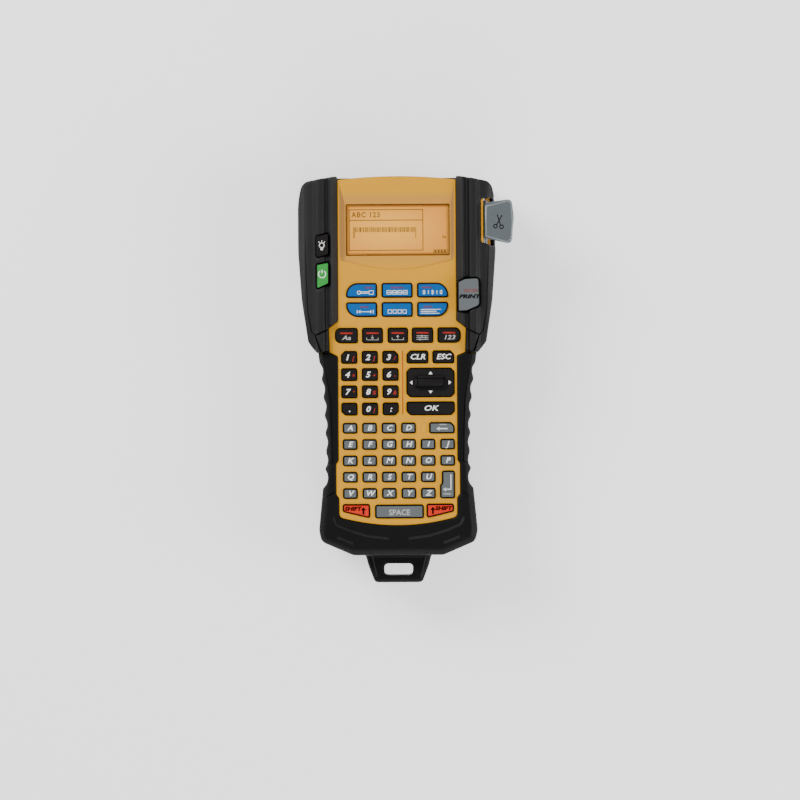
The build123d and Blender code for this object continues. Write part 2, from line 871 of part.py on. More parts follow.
def display_module():
    wx, wy = window_centre
    ww, wh = window_size
    frame = slab(box_face(wx, wy, ww - 1.0, wh + 3.0, 1.0), plate_under - module_thickness, plate_under)
    glass = (ww - 2 * window_ledge - 1.0, wh - 2 * window_ledge - 1.0)
    return frame + slab(box_face(wx, wy, *glass, 0.5), plate_under, plate_under + 0.5)


def status_window():
    face = box_face(status_x, letter_top, status_size[0] - 0.1, status_size[1] - 0.1, 0.55)
    flange = slab(grown(face, 0.8), plate_under - 0.8, plate_under)
    return slab(face, plate_under - 0.8, plate_top + 0.1) + flange


def key_mat():
    return slab(board_outline(0.0), mat_top - mat_thickness, mat_top)


def main_board():
    high = mat_top - mat_thickness
    board = slab(board_outline(0.4), high - board_thickness, high)
    under = high - board_thickness
    for x, y, size in chips:
        half = size / 2
        board += brick(x - half, x + half, y - half, y + half, under - chip_height, under)
    return board


def battery_cells():
    _, _, y0, _ = battery_bay_span()
    z = cell_level()
    cells = []
    for i in range(cell_count):
        y = y0 + (i + 0.5) * cell_pitch
        side = 1 if i % 2 else -1
        can = bar_x(y, z, cell_radius, -cell_length / 2 + 0.75, cell_length / 2 - 0.75)
        nub = bar_x(y, z, 2.75, cell_length / 2 - 1.0, cell_length / 2)
        if side < 0:
            nub = mirror(nub, about=Plane.YZ)
        cells.append(can + nub)
    return Compound(children=cells)


def battery_contacts():
    x0, x1, y0, _ = battery_bay_span()
    z = cell_level()
    plates = []
    for i in range(cell_count):
        y = y0 + (i + 0.5) * cell_pitch
        for x in (x0, x1 - contact_thickness):
            plates.append(brick(x, x + contact_thickness, y - 4.5, y + 4.5, z - 4.5, z + 4.5))
    return Compound(children=plates)


# ================================================================ cassette and reels
def label_cassette():
    cx, cy = cassette_centre
    w, h, d = cassette_size
    low = head_floor - seat_thickness + 0.8
    body = slab(box_face(cx, cy, w, h, 4.0), low, low + d)
    for x, y, radius in (label_reel, ribbon_reel):
        body -= post(x, y, radius + 1.5, low + cassette_wall, low + d - cassette_wall)
        body += post(x, y, reel_post_radius, low, low + d)
    return body


def reel(x, y, radius):
    low = head_floor - seat_thickness + 0.8 + cassette_wall + 0.4
    high = low + cassette_size[2] - 2 * cassette_wall - 0.8
    return post(x, y, radius, low, high) - post(x, y, reel_post_radius + running_gap, low - 1, high + 1)


# ================================================================ print drive
def idler_y():
    return platen_y - module_size * (platen_teeth + idler_teeth) / 2


def pinion_y():
    return idler_y() - module_size * (idler_teeth + pinion_teeth) / 2


def gear(teeth, x, y, turn, bore):
    """A spur gear with involute flanks and a little backlash."""
    pitch_radius = module_size * teeth / 2
    base = pitch_radius * math.cos(pressure_angle)
    tip = pitch_radius + 0.9 * module_size
    root = pitch_radius - 1.15 * module_size
    backlash = 0.10 * module_size
    half_at_pitch = (math.pi * module_size / 2 - backlash) / (2 * pitch_radius)
    involute = lambda angle: math.tan(angle) - angle
    points = []
    for i in range(teeth):
        centre = turn + 2 * math.pi * i / teeth
        flank = []
        start = max(base, root)
        for k in range(4):
            r = start + (tip - start) * k / 3
            angle = math.acos(min(1.0, base / r))
            half = half_at_pitch + involute(pressure_angle) - involute(angle)
            flank.append((r, half))
        lower = [(root, flank[0][1])] if root < start else []
        side = lower + flank
        for r, half in side:
            points.append((r * math.cos(centre - half), r * math.sin(centre - half)))
        for r, half in reversed(side):
            points.append((r * math.cos(centre + half), r * math.sin(centre + half)))
    disc = make_face(Polyline(*points, close=True))
    body = Pos(x, y, 0) * slab(disc, gear_level, gear_level + gear_height)
    return body - post(x, y, bore, gear_level - 1, gear_level + gear_height + 1)


def platen_roller():
    shaft = post(drive_x, platen_y, shaft_radius, head_floor, gear_level + gear_height + 1.0)
    return shaft + post(drive_x, platen_y, platen_radius, slot_level[0] + 0.3, slot_level[1])


def platen_gear():
    return gear(platen_teeth, drive_x, platen_y, math.pi / 2, shaft_radius)


def idler_gear():
    facing = math.pi / 2 + math.pi / idler_teeth
    return gear(idler_teeth, drive_x, idler_y(), facing, post_radius + running_gap)


def motor_pinion():
    facing = math.pi / 2
    return gear(pinion_teeth, drive_x, pinion_y(), facing, shaft_radius + running_gap)


def drive_motor():
    y = pinion_y()
    can_top = head_floor + motor_height
    can = post(drive_x, y, motor_radius, head_floor, can_top)
    collar = post(drive_x, y, 3.0, can_top, gear_level - 0.4)
    return can + collar + post(drive_x, y, shaft_radius, can_top, gear_level + gear_height + 1.0)


def print_head():
    x = drive_x - platen_radius - tape_gap
    thick, width = head_block
    high = slot_level[1] + print_head_margin
    return brick(x - thick, x, platen_y - width / 2, platen_y + width / 2, head_floor, high)


# ================================================================ cutter
def cutter_lever():
    """A thumb paddle on a hub, with an arm inside that drives the blade."""
    y0, y1 = lever_span_y
    px, pz = lever_pivot
    corners = paddle_points(0.0)
    corners.insert(2, (lever_tip_x, (y0 + y1) / 2 + 3.0))
    paddle = slab(face_of(corners, [1.8, 2.8, 24.0, 2.6, 2.2]), lever_top - lever_thickness, lever_top)
    paddle = chamfer(paddle.edges().group_by(Axis.Z)[-1], 0.7)
    web_top = lever_top - lever_thickness + 0.01
    low, high = y0 + lever_web_margin[0], y1 - lever_web_margin[1]
    web = brick(px + lever_neck, px + lever_neck + lever_web, low, high, pz - 1.0, web_top)
    hub = bar_y(px, pz, lever_hub_radius, y0 + 0.6, y1 - 0.6)
    arm = brick(px - 1.5, px + 1.5, y1 - 4.0, y1 - 0.8, pz - blade_arm - 1.6, pz)
    body = paddle + web + hub + arm
    return body - bar_y(px, pz, lever_pin_radius + running_gap, y0 - 2, y1 + 2)


def cutter_pin():
    y0, y1 = lever_span_y
    ends = notch_gap + ear_thickness
    return bar_y(*lever_pivot, lever_pin_radius, y0 - ends, y1 + ends)


def lever_spring():
    """A few close turns of wire round the pin, beside the hub."""
    y0, _ = lever_span_y
    px, pz = lever_pivot
    wire = 0.22
    coil = None
    for i in range(3):
        y = y0 - notch_gap + 0.3 + wire * 1.7 * i
        turn = Pos(px, y, pz) * Rot(90, 0, 0) * Torus(lever_pin_radius + 0.6, wire)
        coil = turn if coil is None else coil + turn
    return coil


def cutter_blade():
    """A guillotine blade on a slider that the lever's arm pushes across the label."""
    _, y1 = lever_span_y
    px, pz = lever_pivot
    tip = drive_x - platen_radius + 1.4
    back = px - 1.5 - door_gap
    y = y1 + 2.6
    blade = brick(tip, tip + blade_width, y, y + blade_thickness, slot_level[0], pz - blade_arm + 2.0)
    tail = brick(back - 5.5, back, y1 - 2.8, y + 0.2, pz - blade_arm - 1.6, pz - blade_arm + 2.0)
    bevel = blade.edges().filter_by(Axis.Z).sort_by(Axis.X)[:1]
    return chamfer(bevel, blade_thickness * 0.6) + tail


# ================================================================ fasteners
def casing_screws():
    screws = []
    for x, y in screw_places:
        low = screw_head_level
        high = low + screw_head_height
        screw = post(x, y, screw_head_radius, low, high)
        screw += post(x, y, screw_radius, high, high + screw_length)
        cross = brick(x - 1.7, x + 1.7, y - 0.35, y + 0.35, low - 1, low + 0.9)
        cross += brick(x - 0.35, x + 0.35, y - 1.7, y + 1.7, low - 1, low + 0.9)
        screws.append(screw - cross)
    return Compound(children=screws)


# ================================================================ write every sub-part
def main():
    for name, faces in plate_keys().items():
        export_step(key_node(faces, cap_top, flange_top), f"parts/{name}.step")
    for name, faces in side_keys().items():
        export_step(key_node(faces, side_key_top, side_flange_top), f"parts/{name}.step")
    pieces = {
        "front_casing": front_casing,
        "rear_casing": rear_casing,
        "rubber_boot": rubber_boot,
        "left_shoulder_grip": lambda: shoulder(-1),
        "right_shoulder_grip": lambda: shoulder(1),
        "display_window": display_window,
        "display_module": display_module,
        "status_window": status_window,
        "key_mat": key_mat,
        "main_board": main_board,
        "cassette_door": lambda: door(cassette_door_half, *cassette_door_y, 0.0),
        "battery_door": lambda: door(battery_door_half, *battery_door_y, grip_rise),
        "battery_cells": battery_cells,
        "battery_contacts": battery_contacts,
        "label_cassette": label_cassette,
        "label_spool": lambda: reel(*label_reel),
        "ribbon_spool": lambda: reel(*ribbon_reel),
        "print_head": print_head,
        "platen_roller": platen_roller,
        "platen_gear": platen_gear,
        "idler_gear": idler_gear,
        "motor_pinion": motor_pinion,
        "drive_motor": drive_motor,
        "cutter_lever": cutter_lever,
        "cutter_pin": cutter_pin,
        "lever_spring": lever_spring,
        "cutter_blade": cutter_blade,
        "casing_screws": casing_screws,
    }
    for name, make in pieces.items():
        export_step(make(), f"parts/{name}.step")


main()
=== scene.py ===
import json
import math
from contextlib import contextmanager

import bpy
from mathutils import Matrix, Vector


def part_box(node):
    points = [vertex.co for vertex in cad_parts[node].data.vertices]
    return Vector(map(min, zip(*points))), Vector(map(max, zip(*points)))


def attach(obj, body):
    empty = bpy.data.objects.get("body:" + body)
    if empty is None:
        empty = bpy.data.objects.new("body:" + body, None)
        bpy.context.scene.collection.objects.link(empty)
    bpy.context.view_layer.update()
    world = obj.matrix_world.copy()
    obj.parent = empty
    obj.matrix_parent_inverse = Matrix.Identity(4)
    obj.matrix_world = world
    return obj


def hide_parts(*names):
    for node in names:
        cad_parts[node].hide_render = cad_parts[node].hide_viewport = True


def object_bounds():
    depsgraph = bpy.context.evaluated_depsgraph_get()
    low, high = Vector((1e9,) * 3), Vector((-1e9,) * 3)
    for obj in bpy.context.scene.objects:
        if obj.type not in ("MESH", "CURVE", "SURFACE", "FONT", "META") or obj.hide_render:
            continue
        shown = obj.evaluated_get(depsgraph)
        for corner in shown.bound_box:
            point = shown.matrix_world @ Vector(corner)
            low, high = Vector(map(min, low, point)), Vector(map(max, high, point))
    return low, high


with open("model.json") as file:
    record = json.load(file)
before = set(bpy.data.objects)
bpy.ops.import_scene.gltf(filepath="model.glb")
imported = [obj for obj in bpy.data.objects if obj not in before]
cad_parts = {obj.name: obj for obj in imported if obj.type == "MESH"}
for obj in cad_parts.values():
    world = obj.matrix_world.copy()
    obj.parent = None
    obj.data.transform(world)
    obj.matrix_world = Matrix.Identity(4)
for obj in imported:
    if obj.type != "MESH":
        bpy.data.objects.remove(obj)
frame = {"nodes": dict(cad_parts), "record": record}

bl_info = {
    "name": "Label Maker Finish",
    "version": (1, 0, 0),
    "blender": (4, 5, 0),
    "location": "View3D > Sidebar > Label Maker",
    "description": "Finishes a hand-held label maker round its mechanical frame",
    "category": "Object",
}

MM = 0.001
CAD_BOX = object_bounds()
BODY_OF = {node: body for body, nodes in frame["record"]["behaviour"]["bodies"].items() for node in nodes}
SLOT_OF = {part["node"]: part["material_slot"] for part in frame["record"]["subparts"]}
GRIP_NODES = ("rubber_boot", "left_shoulder_grip", "right_shoulder_grip")


# ---------------------------------------------------------------- settings
def length(name, description, default):
    """A setting that is a length."""
    return bpy.props.FloatProperty(name=name, description=description, default=default, unit="LENGTH")


def colour(name, description, default):
    """A setting that is a colour."""
    return bpy.props.FloatVectorProperty(
        name=name, description=description, subtype="COLOR", size=3, default=default, min=0, max=1)


class LabelMakerSizes(bpy.types.PropertyGroup):
    """Sizes of the pieces that this add-on makes."""

    legend_height: length("Legend height", "Height of a letter on a key", 3.3 * MM)
    legend_rise: length("Legend rise", "How far print stands on a key", 0.04 * MM)
    icon_line: length("Icon line", "Half width of a line in a printed icon", 0.30 * MM)
    letter_pitch: length("Letter pitch", "Distance between letter keys in a row", 11.9 * MM)
    digit_pitch: length("Digit pitch", "Distance between digit keys in a row", 12.6 * MM)
    key_softness: length("Key softness", "Edge radius of a key cap", 0.15 * MM)
    casing_softness: length("Casing softness", "Edge radius of the casings", 0.35 * MM)
    rubber_voxel: length("Rubber detail", "Cell size of the remeshed rubber", 0.85 * MM)
    rubber_passes: bpy.props.IntProperty(
        name="Rubber smoothing", description="Smoothing passes on the rubber", default=7, min=0, max=40)
    seam_radius: length("Seam radius", "Radius of the seams in the rubber", 0.55 * MM)


class LabelMakerColours(bpy.types.PropertyGroup):
    """Colours of the finishes."""

    yellow: colour("Casing yellow", "Colour of the front plate", (0.70, 0.325, 0.008))
    rubber: colour("Rubber black", "Colour of the boot", (0.0030, 0.0033, 0.0030))
    shoulder: colour("Shoulder black", "Colour of the shoulder grips", (0.026, 0.0265, 0.026))
    blue: colour("Key blue", "Colour of the six wide keys", (0.006, 0.098, 0.33))
    grey: colour("Key grey", "Colour of the letter keys", (0.112, 0.122, 0.127))
    red: colour("Key red", "Colour of the shift keys", (0.66, 0.030, 0.010))
    green: colour("Key green", "Colour of the power key", (0.028, 0.29, 0.045))
    amber: colour("Display amber", "Colour of the lit display", (0.76, 0.30, 0.030))


# ---------------------------------------------------------------- node groups for the finishes
def group_with(name, inputs, outputs):
    """An empty shader node group with the sockets given as (name, type, default)."""
    group = bpy.data.node_groups.new(name, "ShaderNodeTree")
    for label, kind, value in inputs:
        socket = group.interface.new_socket(label, in_out="INPUT", socket_type=kind)
        socket.default_value = value
    for label, kind in outputs:
        group.interface.new_socket(label, in_out="OUTPUT", socket_type=kind)
    return group, group.nodes.new("NodeGroupInput"), group.nodes.new("NodeGroupOutput")


def node(tree, kind, **values):
    """A node with some of its properties and inputs set."""
    made = tree.nodes.new(kind)
    for key, value in values.items():
        if key in made.inputs:
            made.inputs[key].default_value = value
        else:
            setattr(made, key, value)
    return made


def soft_step(tree, low, high):
    """A node that rises smoothly from nought to one between two values."""
    step = node(tree, "ShaderNodeMapRange", interpolation_type="SMOOTHSTEP")
    step.inputs["From Min"].default_value = low
    step.inputs["From Max"].default_value = high
    return step


def opened(material):
    """A moulded material's tree, its shader and the socket that gives its colour."""
    shader = material.node_tree.nodes["Principled BSDF"]
    return material.node_tree, shader, shader.inputs["Base Color"].links[0].from_socket


def moulded_grain():
    """Fine spark-eroded texture: a height and a slow mottling."""
    group, given, out = group_with(
        "moulded_grain",
        [("Scale", "NodeSocketFloat", 2200.0), ("Mottle Scale", "NodeSocketFloat", 40.0)],
        [("Height", "NodeSocketFloat"), ("Mottle", "NodeSocketFloat")])
    place = node(group, "ShaderNodeTexCoord")
    fine = node(group, "ShaderNodeTexNoise", Detail=3.0, Roughness=0.6)
    cells = node(group, "ShaderNodeTexVoronoi", feature="F1")
    mix = node(group, "ShaderNodeMath", operation="MULTIPLY_ADD")
    mix.inputs[1].default_value = 0.5
    slow = node(group, "ShaderNodeTexNoise", Detail=4.0, Roughness=0.55)
    link = group.links.new
    for texture, source in ((fine, "Scale"), (cells, "Scale"), (slow, "Mottle Scale")):
        link(place.outputs["Object"], texture.inputs["Vector"])
        link(given.outputs[source], texture.inputs["Scale"])
    link(cells.outputs["Distance"], mix.inputs[0])
    link(fine.outputs["Fac"], mix.inputs[2])
    link(mix.outputs[0], out.inputs["Height"])
    link(slow.outputs["Fac"], out.inputs["Mottle"])
    return group


def handling_wear():
    """A mask of light rubbing and dust: small specks and soft patches."""
    group, given, out = group_with(
        "handling_wear",
        [("Patch Scale", "NodeSocketFloat", 60.0), ("Speck Scale", "NodeSocketFloat", 900.0),
         ("Amount", "NodeSocketFloat", 0.5)],
        [("Patch", "NodeSocketFloat"), ("Speck", "NodeSocketFloat")])
    place = node(group, "ShaderNodeTexCoord")
    patch = node(group, "ShaderNodeTexNoise", Detail=6.0, Roughness=0.65)
    speck = node(group, "ShaderNodeTexNoise", Detail=2.0, Roughness=0.5)
    patch_cut = node(group, "ShaderNodeMapRange", interpolation_type="SMOOTHSTEP")
    speck_cut = node(group, "ShaderNodeMapRange", interpolation_type="SMOOTHSTEP")
    for cut, low, high in ((patch_cut, 0.48, 0.72), (speck_cut, 0.66, 0.74)):
        cut.inputs["From Min"].default_value = low
        cut.inputs["From Max"].default_value = high
    link = group.links.new
    for texture, source in ((patch, "Patch Scale"), (speck, "Speck Scale")):
        link(place.outputs["Object"], texture.inputs["Vector"])
        link(given.outputs[source], texture.inputs["Scale"])
    for texture, cut, label in ((patch, patch_cut, "Patch"), (speck, speck_cut, "Speck")):
        scale = node(group, "ShaderNodeMath", operation="MULTIPLY")
        link(texture.outputs["Fac"], cut.inputs["Value"])
        link(cut.outputs["Result"], scale.inputs[0])
        link(given.outputs["Amount"], scale.inputs[1])
        link(scale.outputs[0], out.inputs[label])
    return group


def shade(colour, factor):
    """A colour made lighter or darker, with its alpha."""
    return tuple(min(1.0, c * factor) for c in colour[:3]) + (1.0,)


def moulded(name, colour, rough, grain, bump, wear=0.4, spread=0.16, dust=(0.45, 0.43, 0.40), specular=0.5,
            coat=0.0):
    """A moulded plastic or rubber: mottled colour, grained surface, light dust and rubbing."""
    material = bpy.data.materials.new(name)
    material.use_nodes = True
    tree = material.node_tree
    shader = tree.nodes["Principled BSDF"]
    shader.inputs["Specular IOR Level"].default_value = specular
    shader.inputs["Coat Weight"].default_value = coat
    shader.inputs["Coat Roughness"].default_value = 0.25
    surface = node(tree, "ShaderNodeGroup", node_tree=bpy.data.node_groups["moulded_grain"])
    surface.inputs["Scale"].default_value = grain
    surface.inputs["Mottle Scale"].default_value = 55.0
    used = node(tree, "ShaderNodeGroup", node_tree=bpy.data.node_groups["handling_wear"])
    used.inputs["Amount"].default_value = wear
    tone = node(tree, "ShaderNodeMix", data_type="RGBA")
    tone.inputs[6].default_value = shade(colour, 1 - spread)
    tone.inputs[7].default_value = shade(colour, 1 + spread)
    dusty = node(tree, "ShaderNodeMix", data_type="RGBA")
    dusty.inputs[7].default_value = (*dust, 1.0)
    fine = node(tree, "ShaderNodeMath", operation="MULTIPLY")
    fine.inputs[1].default_value = 0.18
    rubbing_and_highlight = node(tree, "ShaderNodeMapRange")
    rubbing_and_highlight.inputs["To Min"].default_value = rough
    rubbing_and_highlight.inputs["To Max"].default_value = max(0.08, rough - 0.16)
    bumps = node(tree, "ShaderNodeBump", Strength=bump, Distance=0.00012)
    link = tree.links.new
    link(surface.outputs["Mottle"], tone.inputs[0])
    link(tone.outputs[2], dusty.inputs[6])
    link(used.outputs["Speck"], fine.inputs[0])
    link(fine.outputs[0], dusty.inputs[0])
    link(dusty.outputs[2], shader.inputs["Base Color"])
    link(used.outputs["Patch"], rubbing_and_highlight.inputs["Value"])
    link(rubbing_and_highlight.outputs["Result"], shader.inputs["Roughness"])
    link(surface.outputs["Height"], bumps.inputs["Height"])
    link(bumps.outputs["Normal"], shader.inputs["Normal"])
    return material


def metal(name, colour, rough, stretch, bump=0.15):
    """A drawn or brushed metal with fine lines along one way."""
    material = bpy.data.materials.new(name)
    material.use_nodes = True
    tree = material.node_tree
    shader = tree.nodes["Principled BSDF"]
    shader.inputs["Metallic"].default_value = 1.0
    place = node(tree, "ShaderNodeTexCoord")
    lay = node(tree, "ShaderNodeMapping")
    lay.inputs["Scale"].default_value = stretch
    lines = node(tree, "ShaderNodeTexNoise", Scale=900.0, Detail=4.0, Roughness=0.6)
    tone = node(tree, "ShaderNodeMix", data_type="RGBA")
    tone.inputs[6].default_value = shade(colour, 0.82)
    tone.inputs[7].default_value = shade(colour, 1.12)
    gloss = node(tree, "ShaderNodeMapRange")
    gloss.inputs["To Min"].default_value = rough - 0.06
    gloss.inputs["To Max"].default_value = rough + 0.10
    bumps = node(tree, "ShaderNodeBump", Strength=bump, Distance=0.00005)
    link = tree.links.new
    link(place.outputs["Object"], lay.inputs["Vector"])
    link(lay.outputs["Vector"], lines.inputs["Vector"])
    link(lines.outputs["Fac"], tone.inputs[0])
    link(tone.outputs[2], shader.inputs["Base Color"])
    link(lines.outputs["Fac"], gloss.inputs["Value"])
    link(gloss.outputs["Result"], shader.inputs["Roughness"])
    link(lines.outputs["Fac"], bumps.inputs["Height"])
    link(bumps.outputs["Normal"], shader.inputs["Normal"])
    return material


def printed(name, colour, rough=0.6, wear=0.5):
    """Ink or paint printed on a key: slightly uneven, a little rubbed."""
    return moulded(name, colour, rough, 3000.0, 0.15, wear=wear, spread=0.07, dust=shade(colour, 0.6)[:3],
                   specular=0.06)


def key_finish(name, colour, dust):
    """A key's finish: coloured on its face, black round its softened edge."""
    material = moulded(name, colour, 0.50, 2400.0, 0.25, spread=0.10, dust=dust, specular=0.16)
    tree, shader, source = opened(material)
    place = node(tree, "ShaderNodeTexCoord")
    facing = node(tree, "ShaderNodeSeparateXYZ")
    face = soft_step(tree, 0.80, 0.97)
    paint = node(tree, "ShaderNodeMix", data_type="RGBA")
    paint.inputs[6].default_value = (0.0022, 0.0020, 0.0018, 1.0)
    link = tree.links.new
    link(place.outputs["Normal"], facing.inputs["Vector"])
    link(facing.outputs["Z"], face.inputs["Value"])
    link(face.outputs["Result"], paint.inputs[0])
    link(source, paint.inputs[7])
    link(paint.outputs[2], shader.inputs["Base Color"])
    return material


def shoulder_rubber(colour):
    """The shoulder grips' rubber, with painted shade in its flutes and painted highlights on its inner strip
    and outer edge.
    """
    material = moulded("shoulder_rubber", colour, 0.50, 1300.0, 0.55, wear=0.5, spread=0.22,
                       dust=(0.06, 0.06, 0.056), specular=0.20)
    tree, shader, source = opened(material)
    place = node(tree, "ShaderNodeTexCoord")
    axes = node(tree, "ShaderNodeSeparateXYZ")
    side = node(tree, "ShaderNodeMath", operation="ABSOLUTE")
    across = node(tree, "ShaderNodeMapRange")
    across.inputs["From Min"].default_value = 36 * MM
    across.inputs["From Max"].default_value = 62 * MM
    # painted shade and highlight: bands across the grip's width, dark in the flutes, light on the inner strip
    # and the outer edge
    bands = node(tree, "ShaderNodeValToRGB")
    shade_and_highlight_stops = ((0.0, 0.90), (0.14, 0.80), (0.20, 0.16), (0.29, 0.18), (0.36, 0.50), (0.58, 0.45), (0.78, 0.40),
             (0.86, 0.12), (0.90, 0.14), (0.95, 0.95))
    ramp = bands.color_ramp
    while len(ramp.elements) < len(shade_and_highlight_stops):
        ramp.elements.new(1.0)
    for element, (position, value) in zip(ramp.elements, shade_and_highlight_stops):
        element.position = position
        element.color = (value, value, value, 1.0)
    tone = node(tree, "ShaderNodeMix", data_type="RGBA", blend_type="MULTIPLY")
    tone.inputs[0].default_value = 1.0
    link = tree.links.new
    link(place.outputs["Object"], axes.inputs["Vector"])
    link(axes.outputs["X"], side.inputs[0])
    link(side.outputs[0], across.inputs["Value"])
    link(across.outputs["Result"], bands.inputs["Fac"])
    link(source, tone.inputs[6])
    link(bands.outputs["Color"], tone.inputs[7])
    link(tone.outputs[2], shader.inputs["Base Color"])
    return material


def front_yellow(colours):
    """The front plate: yellow, with painted shade in the dished panel round the display, darker still on its
    side facets.
    """
    material = moulded("front_yellow", colours.yellow, 0.42, 2600.0, 0.28, wear=0.35, spread=0.05,
                       dust=(0.50, 0.26, 0.03), specular=0.30)
    tree, shader, source = opened(material)
    low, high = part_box("display_window")
    place = node(tree, "ShaderNodeTexCoord")
    axes = node(tree, "ShaderNodeSeparateXYZ")
    # painted shade: the dished panel darker below the plate's face and towards the display
    below = soft_step(tree, high.z + 0.75 * MM, high.z + 0.15 * MM)
    rise = soft_step(tree, low.y - 14 * MM, low.y + 4 * MM)
    both = node(tree, "ShaderNodeMath", operation="MULTIPLY")
    painted_recess_shade = node(tree, "ShaderNodeMix", data_type="RGBA")
    painted_recess_shade.inputs[7].default_value = (0.60, 0.275, 0.040, 1.0)
    # painted shade: the panel's side facets darker the more their normals lean sideways
    flank = soft_step(tree, 0.08, 0.30)
    facing = node(tree, "ShaderNodeSeparateXYZ")
    side = node(tree, "ShaderNodeMath", operation="ABSOLUTE")
    shadow = node(tree, "ShaderNodeMath", operation="MULTIPLY")
    painted_facet_shade = node(tree, "ShaderNodeMix", data_type="RGBA")
    painted_facet_shade.inputs[7].default_value = (0.36, 0.165, 0.030, 1.0)
    round_edge = node(tree, "ShaderNodeBevel", samples=4, Radius=0.45 * MM)
    link = tree.links.new
    link(round_edge.outputs["Normal"], shader.inputs["Normal"].links[0].from_node.inputs["Normal"])
    link(place.outputs["Normal"], facing.inputs["Vector"])
    link(facing.outputs["X"], side.inputs[0])
    link(side.outputs[0], flank.inputs["Value"])
    link(flank.outputs["Result"], shadow.inputs[0])
    link(rise.outputs["Result"], shadow.inputs[1])
    link(shadow.outputs[0], painted_facet_shade.inputs[0])
    link(painted_recess_shade.outputs[2], painted_facet_shade.inputs[6])
    link(place.outputs["Object"], axes.inputs["Vector"])
    link(axes.outputs["Z"], below.inputs["Value"])
    link(axes.outputs["Y"], rise.inputs["Value"])
    link(below.outputs["Result"], both.inputs[0])
    link(rise.outputs["Result"], both.inputs[1])
    link(both.outputs[0], painted_recess_shade.inputs[0])
    link(source, painted_recess_shade.inputs[6])
    link(painted_facet_shade.outputs[2], shader.inputs["Base Color"])
    return material


def lit_display(colours):
    """A backlit liquid crystal: brightest in the middle, with a fine cell grid."""
    material = bpy.data.materials.new("lit_display")
    material.use_nodes = True
    tree = material.node_tree
    shader = tree.nodes["Principled BSDF"]
    shader.inputs["Roughness"].default_value = 0.35
    shader.inputs["Emission Strength"].default_value = 0.28
    low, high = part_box("display_window")
    middle = (low + high) / 2
    place = node(tree, "ShaderNodeTexCoord")
    centre = node(tree, "ShaderNodeMapping", vector_type="POINT")
    span = high - low
    spread = 1.5
    bright_x = middle.x - 6 * MM
    centre.inputs["Location"].default_value = (-bright_x / span.x * spread, -middle.y / span.y * spread, 0)
    centre.inputs["Scale"].default_value = (spread / span.x, spread / span.y, 0)
    glow = node(tree, "ShaderNodeTexGradient", gradient_type="SPHERICAL")
    ramp = node(tree, "ShaderNodeMapRange", interpolation_type="SMOOTHSTEP")
    ramp.inputs["From Max"].default_value = 0.9
    cells = node(tree, "ShaderNodeTexChecker", Scale=1 / (0.42 * MM))
    cells.inputs["Color1"].default_value = (1, 1, 1, 1)
    cells.inputs["Color2"].default_value = (0.93, 0.93, 0.93, 1)
    tone = node(tree, "ShaderNodeMix", data_type="RGBA")
    tone.inputs[6].default_value = (*colours.amber, 1.0)
    tone.inputs[7].default_value = (0.92, 0.46, 0.055, 1.0)
    grid = node(tree, "ShaderNodeMix", data_type="RGBA", blend_type="MULTIPLY")
    grid.inputs[0].default_value = 0.6
    link = tree.links.new
    link(place.outputs["Object"], centre.inputs["Vector"])
    link(centre.outputs["Vector"], glow.inputs["Vector"])
    link(glow.outputs["Fac"], ramp.inputs["Value"])
    link(ramp.outputs["Result"], tone.inputs[0])
    link(place.outputs["Object"], cells.inputs["Vector"])
    link(tone.outputs[2], grid.inputs[6])
    link(cells.outputs["Color"], grid.inputs[7])
    link(grid.outputs[2], shader.inputs["Base Color"])
    link(grid.outputs[2], shader.inputs["Emission Color"])
    return material


def clear_pane():
    """The hard-coated window over the display, with faint wipe marks."""
    material = bpy.data.materials.new("clear_pane")
    material.use_nodes = True
    tree = material.node_tree
    shader = tree.nodes["Principled BSDF"]
    shader.inputs["Base Color"].default_value = (0.85, 0.42, 0.06, 1.0)
    shader.inputs["IOR"].default_value = 1.49
    shader.inputs["Alpha"].default_value = 0.10
    place = node(tree, "ShaderNodeTexCoord")
    marks = node(tree, "ShaderNodeTexNoise", Scale=70.0, Detail=5.0, Roughness=0.6)
    gloss = node(tree, "ShaderNodeMapRange")
    gloss.inputs["To Min"].default_value = 0.04
    gloss.inputs["To Max"].default_value = 0.16
    link = tree.links.new
    link(place.outputs["Object"], marks.inputs["Vector"])
    link(marks.outputs["Fac"], gloss.inputs["Value"])
    link(gloss.outputs["Result"], shader.inputs["Roughness"])
    return material


